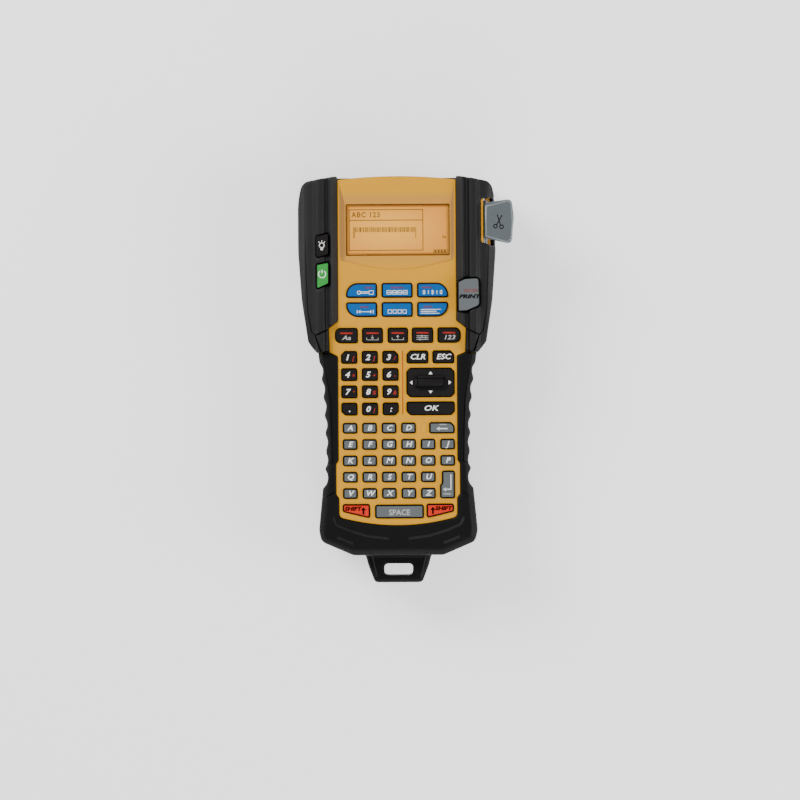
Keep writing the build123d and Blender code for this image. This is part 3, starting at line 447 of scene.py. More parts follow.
def make_materials(colours):
    """Every finish, by the record's material slot, and the inks."""
    moulded_grain()
    handling_wear()
    grey = tuple(colours.grey)
    finishes = {
        "yellow_plastic": front_yellow(colours),
        "dark_plastic": moulded("casing_black", (0.009, 0.0095, 0.0095), 0.48, 1500.0, 0.5, specular=0.25),
        "black_rubber": moulded("boot_rubber", colours.rubber, 0.52, 1300.0, 0.5, wear=0.4, spread=0.22,
                                dust=(0.03, 0.03, 0.028), specular=0.14),
        "window": clear_pane(),
        "display": lit_display(colours),
        "blue_key": key_finish("key_blue", colours.blue, (0.10, 0.20, 0.34)),
        "dark_key": key_finish("key_dark", (0.0085, 0.0072, 0.0070), (0.07, 0.06, 0.06)),
        "grey_key": key_finish("key_grey", grey, (0.24, 0.24, 0.24)),
        "red_key": key_finish("key_red", colours.red, (0.50, 0.10, 0.05)),
        "green_key": key_finish("key_green", colours.green, (0.16, 0.36, 0.16)),
        "mat_rubber": moulded("mat_black", (0.010, 0.010, 0.010), 0.7, 1800.0, 0.3),
        "board": moulded("board_green", (0.012, 0.075, 0.030), 0.30, 1200.0, 0.15),
        "cell": moulded("cell_wrap", (0.030, 0.034, 0.042), 0.28, 900.0, 0.1),
        "contact": metal("nickel", (0.70, 0.69, 0.66), 0.28, (1, 8, 1)),
        "cassette_shell": moulded("cassette_grey", (0.10, 0.105, 0.11), 0.45, 1700.0, 0.35),
        "reel_white": moulded("label_stock", (0.74, 0.73, 0.69), 0.55, 3200.0, 0.2, spread=0.05),
        "reel_dark": moulded("ribbon_film", (0.018, 0.018, 0.022), 0.22, 3200.0, 0.1),
        "ceramic_head": moulded("head_ceramic", (0.52, 0.49, 0.43), 0.40, 2800.0, 0.1, spread=0.06),
        "roller_rubber": moulded("roller_black", (0.022, 0.022, 0.023), 0.62, 3000.0, 0.3),
        "gear_white": moulded("gear_acetal", (0.72, 0.70, 0.64), 0.42, 2600.0, 0.12, spread=0.05),
        "brass_pinion": metal("brass", (0.70, 0.50, 0.19), 0.25, (1, 1, 8)),
        "motor_can": metal("motor_steel", (0.58, 0.58, 0.59), 0.30, (1, 1, 9)),
        "lever_grey": moulded("lever_grey", (0.090, 0.106, 0.113), 0.30, 2600.0, 0.16, spread=0.10,
                              dust=(0.22, 0.24, 0.26), specular=0.5, coat=0.35),
        "steel": metal("plated_steel", (0.55, 0.55, 0.56), 0.30, (8, 1, 1)),
    }
    shoulder_rubber(colours.shoulder)
    # painted highlight: a lighter copy of the boot rubber for the raised lip beads
    rubbing_and_highlight = shade(colours.rubber, 2.6)[:3]
    moulded("boot_rubbed", rubbing_and_highlight, 0.50, 1300.0, 0.4, dust=(0.05, 0.05, 0.05), specular=0.2)
    # painted highlight: a lighter copy of the lever plastic for the lever's rim
    moulded("lever_edge", (0.20, 0.225, 0.235), 0.28, 2600.0, 0.1, spread=0.10, dust=(0.3, 0.3, 0.3),
            coat=0.3)
    moulded("status_lens", (0.72, 0.345, 0.012), 0.25, 2600.0, 0.1, wear=0.2, spread=0.04, specular=0.4)
    printed("ink_white", (0.93, 0.93, 0.91))
    printed("ink_pale", (0.42, 0.42, 0.40))
    printed("ink_mauve", (0.15, 0.060, 0.15))
    printed("ink_faded", (0.21, 0.095, 0.098))
    printed("ink_orange", (0.50, 0.10, 0.008))
    printed("ink_red", (0.38, 0.030, 0.022))
    printed("ink_black", (0.0020, 0.0018, 0.0018))
    printed("ink_display", (0.030, 0.014, 0.006), rough=0.6, wear=0.2)
    return finishes


# ---------------------------------------------------------------- modelling helpers
def nothing_selected():
    """Object mode, with nothing selected."""
    if bpy.context.object and bpy.context.object.mode != "OBJECT":
        bpy.ops.object.mode_set(mode="OBJECT")
    bpy.ops.object.select_all(action="DESELECT")


def chosen(*pieces):
    """Only these pieces selected, the last one active."""
    nothing_selected()
    for piece in pieces:
        piece.select_set(True)
    bpy.context.view_layer.objects.active = pieces[-1]


def settle(piece, turn=True):
    """The piece's place, turn and scale move into its mesh."""
    chosen(piece)
    bpy.ops.object.transform_apply(location=True, rotation=turn, scale=True)
    return piece


@contextmanager
def editing():
    """Edit mode on the active piece, with its whole mesh selected."""
    bpy.ops.object.mode_set(mode="EDIT")
    bpy.ops.mesh.select_all(action="SELECT")
    yield
    bpy.ops.object.mode_set(mode="OBJECT")


def block(centre, size, soften=0.0, steps=2):
    """A box with bevelled edges."""
    nothing_selected()
    bpy.ops.mesh.primitive_cube_add(size=1, location=centre)
    piece = bpy.context.object
    piece.scale = size
    settle(piece)
    if soften:
        with editing():
            bpy.ops.mesh.bevel(offset=soften, segments=steps, affect="EDGES")
    return piece


def line(points, radius, z, flat=0.35, closed=False):
    """A printed line through (x, y) points: a round bead pressed nearly flat."""
    curve = bpy.data.curves.new("line", "CURVE")
    curve.dimensions = "3D"
    curve.bevel_depth = radius
    curve.bevel_resolution = 1
    curve.use_fill_caps = True
    spline = curve.splines.new("POLY")
    spline.points.add(len(points) - 1)
    for point, (x, y) in zip(spline.points, points):
        point.co = (x, y, 0, 1)
    spline.use_cyclic_u = closed
    piece = bpy.data.objects.new("line", curve)
    bpy.context.scene.collection.objects.link(piece)
    chosen(piece)
    bpy.ops.object.convert(target="MESH")
    piece = bpy.context.object
    with editing():
        bpy.ops.mesh.remove_doubles(threshold=0.001 * MM)
        bpy.ops.mesh.normals_make_consistent(inside=False)
    piece.scale = (1, 1, flat)
    piece.location = (0, 0, z)
    return settle(piece)


def words(text, x, y, z, height, rise, slant=0.25, stretch=1.0, spacing=1.0, bold=0.024):
    """Raised print, centred on a point."""
    nothing_selected()
    bpy.ops.object.text_add(location=(0, 0, 0))
    piece = bpy.context.object
    piece.data.body = text
    piece.data.size = height * 1.38
    piece.data.align_x = "CENTER"
    piece.data.align_y = "CENTER"
    piece.data.shear = slant
    piece.data.space_character = spacing
    piece.data.extrude = rise / 2
    piece.data.offset = height * bold
    piece.data.resolution_u = 2
    bpy.ops.object.convert(target="MESH")
    piece = bpy.context.object
    piece.scale = (stretch, 1, 1)
    piece.location = (x, y, z)
    return settle(piece)


def draped(path, on, radius, flat=0.5):
    """A raised bead that follows a surface seen from above, through (x, y) points in millimetres."""
    points = []
    for (x0, y0), (x1, y1) in zip(path, path[1:]):
        points += [(x0 + (x1 - x0) * i / 6, y0 + (y1 - y0) * i / 6) for i in range(6)]
    points.append(path[-1])
    bead = line([(x * MM, y * MM) for x, y in points], radius, 0.0, flat)
    for corner in bead.data.vertices:
        nearest = min(points, key=lambda p: math.hypot(p[0] * MM - corner.co.x, p[1] * MM - corner.co.y))
        hit, place, _, _ = on.ray_cast(Vector((nearest[0] * MM, nearest[1] * MM, 1.0)), Vector((0, 0, -1)))
        if not hit:
            raise RuntimeError("a bead has left its surface")
        corner.co.z += place.z
    return bead


def inked(piece, ink):
    """The piece takes one ink."""
    piece.data.materials.clear()
    piece.data.materials.append(bpy.data.materials[ink])
    return piece


def joined(name, pieces, body):
    """The pieces become one, which rides on a body."""
    chosen(*pieces)
    if len(pieces) > 1:
        bpy.ops.object.join()
    piece = bpy.context.object
    piece.name = name
    piece.data.name = name
    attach(piece, body)
    return piece


def softened(piece, radius, steps=2, limit=25.0):
    """Live modifiers that close a node's loose triangles and round its edges."""
    weld = piece.modifiers.new("close", "WELD")
    weld.merge_threshold = 0.001 * MM
    flat = piece.modifiers.new("flatten", "DECIMATE")
    flat.decimate_type = "DISSOLVE"
    flat.angle_limit = math.radians(0.6)
    edge = piece.modifiers.new("round", "BEVEL")
    edge.width = radius
    edge.segments = steps
    edge.limit_method = "ANGLE"
    edge.angle_limit = math.radians(limit)
    edge.use_clamp_overlap = True
    edge.miter_outer = "MITER_ARC"
    edge.harden_normals = True


def copied(node_name, name):
    """A closed copy of a CAD node's mesh, free to be worked on."""
    source = frame["nodes"][node_name]
    piece = bpy.data.objects.new(name, source.data.copy())
    bpy.context.scene.collection.objects.link(piece)
    chosen(piece)
    with editing():
        bpy.ops.mesh.remove_doubles(threshold=0.001 * MM)
    return piece


def apply_all(piece):
    """Every modifier of the piece goes into its mesh."""
    chosen(piece)
    for modifier in list(piece.modifiers):
        bpy.ops.object.modifier_apply(modifier=modifier.name)
    return piece


def top_of(node_name):
    """The middle of a node's top face."""
    low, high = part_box(node_name)
    return Vector(((low.x + high.x) / 2, (low.y + high.y) / 2, high.z))


# ---------------------------------------------------------------- drawings of the printed icons
def ring(x, y, radius, count=18, start=0.0, sweep=2 * math.pi):
    """Points on a circle or an arc."""
    last = count if sweep >= 2 * math.pi else count - 1
    return [(x + radius * math.cos(start + sweep * i / last), y + radius * math.sin(start + sweep * i / last))
            for i in range(count)]


def box_line(x0, x1, y0, y1):
    """The corners of a rectangle."""
    return [(x0, y0), (x1, y0), (x1, y1), (x0, y1)]


def arrow(x, y, dx, dy, head=0.34):
    """An arrow from a point along (dx, dy): its shaft and its head."""
    length = math.hypot(dx, dy)
    ux, uy = dx / length, dy / length
    tip = (x + dx, y + dy)
    left = (tip[0] - head * (ux + uy), tip[1] - head * (uy - ux))
    right = (tip[0] - head * (ux - uy), tip[1] - head * (uy + ux))
    return [([(x, y), tip], False), ([left, tip, right], False)]


def block_row(count, pitch, half_x, half_y):
    """A row of small frames side by side."""
    middle = (count - 1) / 2
    return [(box_line((i - middle) * pitch - half_x, (i - middle) * pitch + half_x, -half_y, half_y), True)
            for i in range(count)]


def rules(ends, pitch):
    """Level lines under each other, given as (left, right)."""
    top = (len(ends) - 1) / 2 * pitch
    return [([(left, top - i * pitch), (right, top - i * pitch)], False)
            for i, (left, right) in enumerate(ends)]


TRAY = [([(-3.5, 0.1), (-3.5, -1.2), (3.5, -1.2), (3.5, 0.1)], False)]
ICONS = {
    "cable": [(ring(-3.9, 0, 0.95), True)] + rules([(-2.9, 2.3)] * 2, 0.9)
    + [(box_line(2.3, 4.9, -1.1, 1.1), True)],
    "panel": block_row(4, 3.3, 1.25, 1.1) + rules([(-6.1, 6.1)], 1.0),
    "vertical": [part for x in (-5.2, 0.0, 5.2)
                 for part in arrow(x, 0, 0, 1.2, 0.8) + arrow(x, 0, 0, -1.2, 0.8)]
    + [([(x, -1.1), (x, 1.1)], False) for x in (-2.6, 2.6)],
    "fixed": arrow(0, 0, 3.9, 0, 0.9) + arrow(0, 0, -3.9, 0, 0.9)
    + [([(x, -1.1), (x, 1.1)], False) for x in (-4.9, 4.9)],
    "blocks": block_row(4, 3.0, 1.05, 1.05),
    "lines": rules([(-6.2, 6.2), (-6.2, 3.4), (-6.2, 5.2)], 1.15),
    "store": arrow(0, 1.5, 0, -2.0, 0.8) + TRAY,
    "fetch": arrow(0, -0.6, 0, 2.0, 0.8) + TRAY,
    "sliders": rules([(-3.6, 3.6)] * 3, 1.1) + [(ring(x, y, 0.35, 10), True)
                                                for x, y in ((-1.6, -1.1), (1.8, 0.0), (-0.4, 1.1))],
    "back": [([(-2.8, 0), (3.4, 0)], False), ([(-1.7, 0.8), (-3.0, 0), (-1.7, -0.8)], True)],
    "enter": [([(2.1, 6.1), (2.1, -2.9), (-0.6, -2.9)], False),
              ([(-1.0, -2.1), (-2.4, -2.9), (-1.0, -3.7)], True)],
    "up": [([(0, -1.9), (0, 1.2)], False), ([(-1.15, 0.75), (0, 1.9), (1.15, 0.75)], True)],
    "power": [(ring(0, 0, 2.2, 18, math.radians(125), math.radians(290)), False),
              ([(0, 0.5), (0, 2.6)], False)],
    "lamp": [(ring(0, 0.1, 1.5, 16), True), (ring(0, -2.2, 0.6, 10), True)]
    + [([(2.1 * math.cos(a), 0.1 + 2.1 * math.sin(a)), (3.0 * math.cos(a), 0.1 + 3.0 * math.sin(a))], False)
       for a in (math.radians(d) for d in (50, 90, 130))],
    "scissors": [(ring(-2.9, 1.9, 1.1), True), (ring(-2.9, -1.9, 1.1), True),
                 ([(-2.0, 1.2), (4.3, -1.5)], False), ([(-2.0, -1.2), (4.3, 1.5)], False)],
}


def icon(name, x, y, z, scale, radius, flat=0.35, turn=0.0):
    """An icon's lines, as separate meshes."""
    cos, sin = math.cos(turn), math.sin(turn)
    pieces = []
    for points, closed in ICONS[name]:
        placed = [(x + scale * (px * cos - py * sin), y + scale * (px * sin + py * cos)) for px, py in points]
        pieces.append(line(placed, radius, z, flat, closed))
    return pieces


# ---------------------------------------------------------------- operators
class LABELMAKER_OT_finishes(bpy.types.Operator):
    """Gives every mechanical part its finish and rounds the edges of those that show."""

    bl_idname = "labelmaker.finishes"
    bl_label = "Finish the parts"

    def execute(self, context):
        sizes = context.scene.labelmaker_sizes
        finishes = make_materials(context.scene.labelmaker_colours)
        for name, part in frame["nodes"].items():
            part.data.materials.clear()
            part.data.materials.append(finishes[SLOT_OF[name]])
        for name in ("rear_casing", "cassette_door", "battery_door"):
            softened(frame["nodes"][name], sizes.casing_softness)
        softened(frame["nodes"]["cutter_lever"], 2 * sizes.casing_softness, 3)
        for name in ("display_window", "status_window"):
            softened(frame["nodes"][name], 0.12 * MM)
        frame["nodes"]["status_window"].data.materials[0] = bpy.data.materials["status_lens"]
        return {"FINISHED"}


class LABELMAKER_OT_key_caps(bpy.types.Operator):
    """Rounds the edges of every key cap."""

    bl_idname = "labelmaker.key_caps"
    bl_label = "Key caps"

    def execute(self, context):
        softness = context.scene.labelmaker_sizes.key_softness
        for name in frame["nodes"]:
            if BODY_OF[name] == name + "_body":
                softened(frame["nodes"][name], softness, 3)
        return {"FINISHED"}


class LABELMAKER_OT_grips(bpy.types.Operator):
    """Makes the rubber boot and the two shoulder grips, soft-edged and cut by their seams."""

    bl_idname = "labelmaker.grips"
    bl_label = "Rubber grips"

    def execute(self, context):
        sizes = context.scene.labelmaker_sizes
        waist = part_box("left_shoulder_grip")[0].y
        side = [(-56.1, 72.0), (-54.6, 26.0), (-52.4, 13.2), (-50.0, 10.6), (-47.6, 3.2), (-45.4, -1.6),
                (-40.9, -29.0), (-40.4, -47.4), (-40.1, -66.3)]
        cross = [[(-50.0, 10.6), (-40.0, 15.2)], [(-46.0, 0.2), (-35.0, 2.6)]]
        flashes = [[(-39.5, -66.0), (-46.5, -70.5)], [(-39.0, -85.0), (-47.0, -90.0)]]
        seams = []
        for path in [side] + cross + flashes:
            for hand in (1, -1):
                seams.append([(hand * x * MM, waist + y * MM) for x, y in path])
        for name in GRIP_NODES:
            low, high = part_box(name)
            fine = 1.0 if name == "rubber_boot" else 0.72
            floor = high.z - (0.75 if name == "rubber_boot" else 3.6) * MM
            piece = copied(name, name.replace("_grip", "") + "_moulding")
            mesh = piece.modifiers.new("even", "REMESH")
            mesh.mode = "VOXEL"
            mesh.voxel_size = sizes.rubber_voxel * fine
            soft = piece.modifiers.new("soften", "SMOOTH")
            soft.factor = 0.5
            soft.iterations = sizes.rubber_passes
            apply_all(piece)
            for path in seams:
                if not any(low.x < x < high.x and low.y - 2 * MM < y < high.y for x, y in path):
                    continue
                blade = line(path, sizes.seam_radius, floor, 1.0)
                blade.scale = (1, 1, 8)
                blade.location = (0, 0, -7 * floor + 7 * sizes.seam_radius)
                settle(blade)
                cut = piece.modifiers.new("seam", "BOOLEAN")
                cut.operation = "DIFFERENCE"
                cut.solver = "MANIFOLD"
                cut.object = blade
                apply_all(piece)
                bpy.data.objects.remove(blade)
            chosen(piece)
            bpy.ops.object.shade_smooth_by_angle(angle=math.radians(38))
            piece.data.materials.clear()
            finish = "boot_rubber" if name == "rubber_boot" else "shoulder_rubber"
            piece.data.materials.append(bpy.data.materials[finish])
            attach(piece, BODY_OF[name])
            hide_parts(name)
        return {"FINISHED"}


class LABELMAKER_OT_boot_trim(bpy.types.Operator):
    """Makes the boot's raised lip, its two side pads and the edges of the strap tab, in a lighter rubber that
    is a painted highlight.
    """

    bl_idname = "labelmaker.boot_trim"
    bl_label = "Boot trim"

    def execute(self, context):
        boot = bpy.data.objects["rubber_boot_moulding"]
        beads = []
        for hand in (1, -1):
            for path, radius in (
                    ([(40.0, -107.0), (38.0, -111.6), (30.0, -115.0), (19.0, -118.4), (6.0, -120.0)], 0.75),
                    ([(37.5, -119.0), (27.5, -123.0)], 0.85),
                    ([(16.8, -129.5), (13.6, -144.5)], 0.7)):
                bead = draped([(hand * x, y) for x, y in path], boot, radius * MM)
                chosen(bead)
                bpy.ops.object.shade_smooth_by_angle(angle=math.radians(60))
                # the beads take the painted highlight copy of the boot rubber
                bead.data.materials.append(bpy.data.materials["boot_rubbed"])
                beads.append(bead)
        joined("boot_trim", beads, BODY_OF["rubber_boot"])
        return {"FINISHED"}


class LABELMAKER_OT_letters(bpy.types.Operator):
    """Prints the letters and digits on the rows of small keys."""

    bl_idname = "labelmaker.letters"
    bl_label = "Letters and digits"

    def execute(self, context):
        sizes = context.scene.labelmaker_sizes
        for row, text in enumerate(("ABCD", "EFGHIJ", "KLMNOP", "QRSTU", "VWXYZ"), 1):
            name = f"letter_row_{row}"
            low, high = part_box(name)
            first = (low.x + high.x - (len(text) - 1) * sizes.letter_pitch) / 2
            pieces = [
                inked(words(letter, first + i * sizes.letter_pitch, (low.y + high.y) / 2, high.z,
                            sizes.legend_height, sizes.legend_rise, stretch=1.08), "ink_white")
                for i, letter in enumerate(text)]
            joined(f"{name}_print", pieces, BODY_OF[name])
        marks = ("[]/", "=+-", "*%&", " | ")
        for row, text in enumerate(("123", "456", "789", ".0:"), 1):
            name = f"number_row_{row}"
            low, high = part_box(name)
            first = (low.x + high.x) / 2 - sizes.digit_pitch
            y = (low.y + high.y) / 2
            pieces = []
            for i, digit in enumerate(text):
                x = first + i * sizes.digit_pitch
                shift = 1.3 * MM if marks[row - 1][i] != " " else 0
                pieces.append(inked(words(digit, x - shift, y - 0.2 * MM, high.z, 1.06 * sizes.legend_height,
                                          sizes.legend_rise, stretch=1.1, bold=0.035), "ink_white"))
                if shift:
                    pieces.append(inked(words(marks[row - 1][i], x + 2.4 * MM, y - 0.7 * MM, high.z,
                                              sizes.legend_height * 0.72, sizes.legend_rise), "ink_red"))
            joined(f"{name}_print", pieces, BODY_OF[name])
        return {"FINISHED"}


class LABELMAKER_OT_icons(bpy.types.Operator):
    """Prints an icon or a plain word on each of the other keys."""

    bl_idname = "labelmaker.icons"
    bl_label = "Key icons"

    def execute(self, context):
        sizes = context.scene.labelmaker_sizes
        rise = sizes.legend_rise
        pen = sizes.icon_line


        def mark(at, x, y, half, thick, ink="ink_red"):
            """A band of small print: its middle, half length and thickness in millimetres."""
            ends = [(at.x + (x - half) * MM, at.y + y * MM), (at.x + (x + half) * MM, at.y + y * MM)]
            return inked(line(ends, thick / 2 * MM, at.z, 0.10), ink)

        def drawn(name, at, x, y, ink="ink_white", thick=pen):
            """An icon's lines in one ink, moved from the key's middle by millimetres."""
            return [inked(p, ink) for p in icon(name, at.x + x * MM, at.y + y * MM, at.z, MM, thick, 0.2)]

        hot_keys = (
            ("cable", 2.3, 4.2, 2.4), ("panel", 0.0, 0.0, 3.9), ("vertical", 0.0, -3.6, 3.0),
            ("fixed", 2.2, 1.6, 2.6), ("blocks", 0.0, 0.0, 0.0), ("lines", -1.1, -3.0, 2.6))
        for index, (name, lean, band, half) in enumerate(hot_keys, 1):
            key = f"hot_key_{index}"
            at = top_of(key)
            pieces = drawn(name, at, lean, -1.3, "ink_white", 0.8 * pen)
            if half:
                pieces.append(mark(at, band, 1.6, half, 1.1, "ink_mauve"))
            joined(f"{key}_print", pieces, BODY_OF[key])
        for index, name in enumerate(("Aa", "store", "fetch", "sliders", "123"), 1):
            key = f"function_key_{index}"
            at = top_of(key)
            if name in ICONS:
                pieces = drawn(name, at, 0.0, -1.5, "ink_pale", 0.8 * pen)
            else:
                text = words(name, at.x, at.y - 1.5 * MM, at.z, 2.7 * MM, rise, stretch=1.3)
                pieces = [inked(text, "ink_pale")]
            pieces.append(mark(at, 0.0, 1.4, 3.8, 1.1))
            joined(f"{key}_print", pieces, BODY_OF[key])
        plain = {
            "clear_key": ("CLR", 3.3, "ink_white", 1.15, 0.0, 0.25),
            "ok_key": ("OK", 3.3, "ink_white", 1.30, 0.0, 0.25),
            "escape_key": ("ESC", 3.3, "ink_white", 1.15, 0.0, 0.25),
            "space_key": ("SPACE", 3.5, "ink_pale", 0.95, -0.7, 0.0),
        }
        for key, (text, height, ink, stretch, lift, slant) in plain.items():
            at = top_of(key)
            piece = words(text, at.x, at.y + lift * MM, at.z, height * MM, rise, slant=slant, stretch=stretch)
            joined(f"{key}_print", [inked(piece, ink)], BODY_OF[key])
        at = top_of("print_key")
        text = words("PRINT", at.x + 0.2 * MM, at.y - 1.3 * MM, at.z, 2.3 * MM, rise, stretch=1.42, bold=0.07)
        bands = [mark(at, 1.4, lift, 4.2, 0.8, "ink_faded") for lift in (1.9, 2.9)]
        joined("print_key_print", [inked(text, "ink_black")] + bands, BODY_OF["print_key"])
        for key, text_x, arrow_x in (("left_shift_key", -2.2, 4.3), ("right_shift_key", 1.9, -4.5)):
            at = top_of(key)
            text = words("SHIFT", at.x + text_x * MM, at.y + 1.3 * MM, at.z, 2.3 * MM, rise, slant=0.15,
                         stretch=1.25, bold=0.075)
            way = drawn("up", at, arrow_x, -0.1, "ink_black", 1.9 * pen)
            joined(f"{key}_print", [inked(text, "ink_black")] + way, BODY_OF[key])
        for key, name, x, y, thick in (
                ("backspace_key", "back", 0.0, -0.5, 1.2), ("return_key", "enter", 0.0, 0.0, 1.1),
                ("power_key", "power", -0.3, 0.8, 1.0), ("backlight_key", "lamp", -0.3, 0.0, 0.8)):
            at = top_of(key)
            pieces = drawn(name, at, x, y, "ink_white", thick * pen)
            if name == "enter":
                pieces.append(mark(at, -0.3, -5.7, 2.4, 0.7, "ink_pale"))
            if name == "back":
                pieces.append(mark(at, 0.6, 2.0, 2.2, 0.6, "ink_pale"))
            joined(f"{key}_print", pieces, BODY_OF[key])
        left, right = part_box("number_row_1")[1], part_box("clear_key")[0]
        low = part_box("number_row_4")[0]
        x = (left.x + right.x) / 2
        stripe = line([(x, low.y + MM), (x, left.y - 0.4 * MM)], 0.35 * MM, left.z - 1.5 * MM, 0.10)
        joined("plate_stripe", [inked(stripe, "ink_orange")], BODY_OF["front_casing"])
        return {"FINISHED"}


class LABELMAKER_OT_navigation(bpy.types.Operator):
    """Makes the navigation pad's raised rim, its centre and its four arrowheads."""

    bl_idname = "labelmaker.navigation"
    bl_label = "Navigation pad"

    def execute(self, context):
        at = top_of("navigation_pad")
        body = BODY_OF["navigation_pad"]
        size = Vector((19.0, 7.8, 0.9)) * MM
        rim = block(at + Vector((0, 0, 0.1 * MM)), size)
        bpy.ops.object.mode_set(mode="EDIT")
        bpy.ops.mesh.select_all(action="DESELECT")
        bpy.ops.object.mode_set(mode="OBJECT")
        for edge in rim.data.edges:
            a, b = (rim.data.vertices[i].co for i in edge.vertices)
            edge.select = abs(a.z - b.z) > size.z / 2
        bpy.ops.object.mode_set(mode="EDIT")
        bpy.ops.mesh.select_mode(type="EDGE")
        bpy.ops.mesh.bevel(offset=1.8 * MM, segments=1, affect="EDGES")
        bpy.ops.mesh.select_mode(type="FACE")
        bpy.ops.mesh.select_all(action="DESELECT")
        bpy.ops.object.mode_set(mode="OBJECT")
        for face in rim.data.polygons:
            face.select = face.normal.z > 0.9
        bpy.ops.object.mode_set(mode="EDIT")
        bpy.ops.mesh.inset(thickness=0.7 * MM)
        bpy.ops.mesh.extrude_region_move(TRANSFORM_OT_translate={"value": (0, 0, -0.35 * MM)})
        bpy.ops.mesh.inset(thickness=1.2 * MM)
        bpy.ops.mesh.extrude_region_move(TRANSFORM_OT_translate={"value": (0, 0, 0.18 * MM)})
        bpy.ops.object.mode_set(mode="OBJECT")
        edge = rim.modifiers.new("round", "BEVEL")
        edge.width = 0.14 * MM
        edge.segments = 2
        apply_all(rim)
        bpy.ops.object.shade_smooth_by_angle(angle=math.radians(40))
        rim.data.materials.append(bpy.data.materials["key_dark"])
        joined("navigation_rim", [rim], body)
        heads = []
        for turn, reach in ((0, 11.6), (90, 5.6), (180, 11.6), (270, 5.6)):
            a = math.radians(turn)
            nothing_selected()
            bpy.ops.mesh.primitive_circle_add(vertices=3, radius=1.25 * MM, fill_type="NGON")
            head = bpy.context.object
            head.scale = (1.15, 0.9, 1)
            head.rotation_euler.z = a - math.radians(90)
            head.location = at + Vector((math.cos(a) * reach * MM, math.sin(a) * reach * MM, -0.02 * MM))
            settle(head)
            with editing():
                bpy.ops.mesh.extrude_region_move(TRANSFORM_OT_translate={"value": (0, 0, 0.06 * MM)})
                bpy.ops.mesh.select_all(action="SELECT")
                bpy.ops.mesh.normals_make_consistent(inside=False)
            heads.append(inked(head, "ink_white"))
        joined("navigation_arrows", heads, body)
        return {"FINISHED"}


class LABELMAKER_OT_display(bpy.types.Operator):
    """Draws the display's picture: a framed field with a bar pattern, a gauge and the window's border."""

    bl_idname = "labelmaker.display"
    bl_label = "Display picture"

    def execute(self, context):
        low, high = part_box("display_window")
        x, y = (low.x + high.x) / 2, (low.y + high.y) / 2
        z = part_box("display_module")[1].z
        pen = 0.26 * MM

        def at(px, py):
            return x + px * MM, y + py * MM

        def frame_line(x0, x1, y0, y1, radius=pen):
            return line([at(*p) for p in box_line(x0, x1, y0, y1)], radius, z, 0.3, True)

        left, right = -29.6, 15.4
        pieces = [frame_line(left, right, -12.4, 12.4, 0.34 * MM)]
        pieces.append(line([at(left, 6.0), at(right, 6.0)], pen, z, 0.3))
        pieces.append(words("ABC 123", *at(-19.4, 9.2), z, 3.2 * MM, 0.06 * MM, slant=0, stretch=0.95,
                            spacing=1.15))
        widths = (1, 1, 2, 1, 1, 3, 1, 2, 1, 1)
        px = -27.2
        count = 0
        while px < 11.6:
            wide = 0.16 + 0.13 * widths[count % len(widths)] + 0.07 * ((count * 7) % 3)
            tall = 6.6 if count in (0, 1) or px > 10.4 else 3.0
            pieces.append(block((x + (px + wide / 2) * MM, y + (1.7 - tall / 2) * MM, z + 0.03 * MM),
                                Vector((wide, tall, 0.06)) * MM, 0.01 * MM, 1))
            px += wide + 0.30 + 0.12 * ((count * 5) % 4)
            count += 1
        for cell in range(4):
            pieces.append(block((x + (23.0 + 1.9 * cell) * MM, y - 13.2 * MM, z + 0.03 * MM),
                                Vector((1.3, 1.5, 0.06)) * MM, 0.01 * MM, 1))
        pieces.append(frame_line(21.8, 30.0, -14.2, -12.2, 0.16 * MM))
        pieces.append(words("Aa", *at(28.4, -4.4), z, 1.7 * MM, 0.06 * MM, slant=0.0))
        picture = [inked(p, "ink_display") for p in pieces]
        joined("display_picture", picture, BODY_OF["display_module"])
        inset = 0.35 * MM
        corners = box_line(low.x + inset, high.x - inset, low.y + inset, high.y - inset)
        border = line(corners, 0.3 * MM, high.z, 0.2, True)
        joined("window_border", [inked(border, "ink_display")], BODY_OF["display_window"])
        return {"FINISHED"}


class LABELMAKER_OT_lever_face(bpy.types.Operator):
    """Makes the cutter lever's raised rim and its scissors icon."""

    bl_idname = "labelmaker.lever_face"
    bl_label = "Lever face"

    def execute(self, context):
        low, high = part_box("cutter_lever")
        corners = [(-16.9, 4.4), (-4.0, 0.7), (-1.4, 2.6), (-0.8, 13.0), (-1.6, 24.2), (-3.4, 25.8),
                   (-16.9, 22.4)]
        outline = [(high.x + x * MM, low.y + y * MM) for x, y in corners]
        rim = line(outline, 0.55 * MM, high.z - 0.10 * MM, 0.6, True)
        # the rim takes the painted highlight copy of the lever plastic
        rim.data.materials.append(bpy.data.materials["lever_edge"])
        chosen(rim)
        bpy.ops.object.shade_smooth_by_angle(angle=math.radians(60))
        joined("lever_rim", [rim], BODY_OF["cutter_lever"])
        x, y = high.x - 9.0 * MM, low.y + 13.0 * MM
        cuts = icon("scissors", x, y, high.z, MM, 0.3 * MM, turn=math.radians(84))
        joined("lever_icon", [inked(p, "ink_black") for p in cuts], BODY_OF["cutter_lever"])
        return {"FINISHED"}


class LABELMAKER_OT_door_ribs(bpy.types.Operator):
    """Makes the thumb ribs on the battery door."""

    bl_idname = "labelmaker.door_ribs"
    bl_label = "Door ribs"

    def execute(self, context):
        low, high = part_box("battery_door")
        ribs = []
        for i in range(6):
            size = Vector((26.0 - 1.6 * i, 0.9, 0.9)) * MM
            place = (0, high.y - (6.0 + 2.2 * i) * MM, low.z - 0.1 * MM)
            rib = block(place, size, 0.22 * MM)
            rib.data.materials.append(bpy.data.materials["casing_black"])
            ribs.append(rib)
        joined("battery_door_ribs", ribs, BODY_OF["battery_door"])
        return {"FINISHED"}


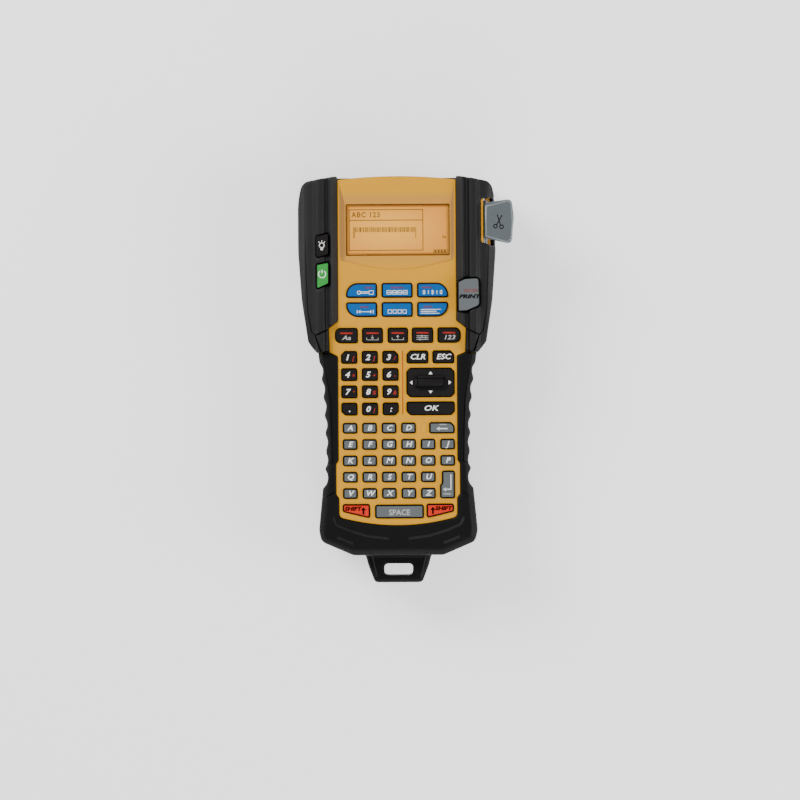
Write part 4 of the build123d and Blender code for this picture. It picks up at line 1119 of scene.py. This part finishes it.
class LABELMAKER_OT_stage(bpy.types.Operator):
    """Sets the pale floor, the soft lights and the camera."""

    bl_idname = "labelmaker.stage"
    bl_label = "Stage"

    def execute(self, context):
        low, high = CAD_BOX
        nothing_selected()
        bpy.ops.mesh.primitive_plane_add(size=8.0, location=(0, 0, low[2] - 0.2 * MM))
        floor = bpy.context.object
        floor.name = "floor"
        settle(floor)
        pale = bpy.data.materials.new("pale_floor")
        pale.use_nodes = True
        pale.node_tree.nodes["Principled BSDF"].inputs["Base Color"].default_value = (0.93, 0.93, 0.93, 1)
        pale.node_tree.nodes["Principled BSDF"].inputs["Roughness"].default_value = 0.6
        pale.node_tree.nodes["Principled BSDF"].inputs["Emission Color"].default_value = (1, 1, 1, 1)
        pale.node_tree.nodes["Principled BSDF"].inputs["Emission Strength"].default_value = 0.8
        floor.data.materials.append(pale)
        for name, place, size, energy in (
                ("key_light", (-1.15, 0.95, 1.25), 0.9, 36.0), ("fill_light", (1.35, -0.3, 0.95), 1.0, 18.0),
                ("low_light", (0.1, -1.5, 1.1), 1.1, 13.0)):
            light = bpy.data.lights.new(name, "AREA")
            light.shape = "DISK"
            light.size = size
            light.energy = energy
            lamp = bpy.data.objects.new(name, light)
            context.scene.collection.objects.link(lamp)
            lamp.location = place
            lamp.rotation_euler = (Vector((0, 0, 0)) - Vector(place)).to_track_quat("-Z", "Y").to_euler()
        world = bpy.data.worlds.new("studio")
        world.use_nodes = True
        world.node_tree.nodes["Background"].inputs["Color"].default_value = (0.97, 0.98, 1.0, 1)
        world.node_tree.nodes["Background"].inputs["Strength"].default_value = 0.42
        context.scene.world = world
        distance = 2.2
        width = 0.488
        lens = bpy.data.cameras.new("camera")
        lens.sensor_width = 36.0
        lens.lens = lens.sensor_width * distance / width
        lens.clip_end = 20.0
        camera = bpy.data.objects.new("camera", lens)
        context.scene.collection.objects.link(camera)
        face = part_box("front_casing")[1].z
        camera.location = (1.4 * MM, high[1] - 137.0 * MM, face + distance)
        camera.rotation_euler = (0, 0, math.radians(-0.34))
        context.scene.camera = camera
        return {"FINISHED"}


class LABELMAKER_PT_panel(bpy.types.Panel):
    """The label maker's steps, in order."""

    bl_label = "Label Maker"
    bl_idname = "LABELMAKER_PT_panel"
    bl_space_type = "VIEW_3D"
    bl_region_type = "UI"
    bl_category = "Label Maker"

    def draw(self, context):
        for step in STEPS:
            self.layout.operator(step.bl_idname)
        for group in (context.scene.labelmaker_sizes, context.scene.labelmaker_colours):
            for name in group.bl_rna.properties.keys():
                if name not in ("rna_type", "name"):
                    self.layout.prop(group, name)


STEPS = (
    LABELMAKER_OT_stage, LABELMAKER_OT_finishes, LABELMAKER_OT_key_caps, LABELMAKER_OT_grips,
    LABELMAKER_OT_boot_trim, LABELMAKER_OT_letters, LABELMAKER_OT_icons, LABELMAKER_OT_navigation,
    LABELMAKER_OT_display, LABELMAKER_OT_lever_face, LABELMAKER_OT_door_ribs,
)
CLASSES = (LabelMakerSizes, LabelMakerColours) + STEPS + (LABELMAKER_PT_panel,)


def register():
    for each in CLASSES:
        bpy.utils.register_class(each)
    bpy.types.Scene.labelmaker_sizes = bpy.props.PointerProperty(type=LabelMakerSizes)
    bpy.types.Scene.labelmaker_colours = bpy.props.PointerProperty(type=LabelMakerColours)


def unregister():
    del bpy.types.Scene.labelmaker_colours
    del bpy.types.Scene.labelmaker_sizes
    for each in reversed(CLASSES):
        bpy.utils.unregister_class(each)


def main():
    register()
    for step in STEPS:
        group, call = step.bl_idname.split(".")
        getattr(getattr(bpy.ops, group), call)()


if __name__ == "__main__":
    main()
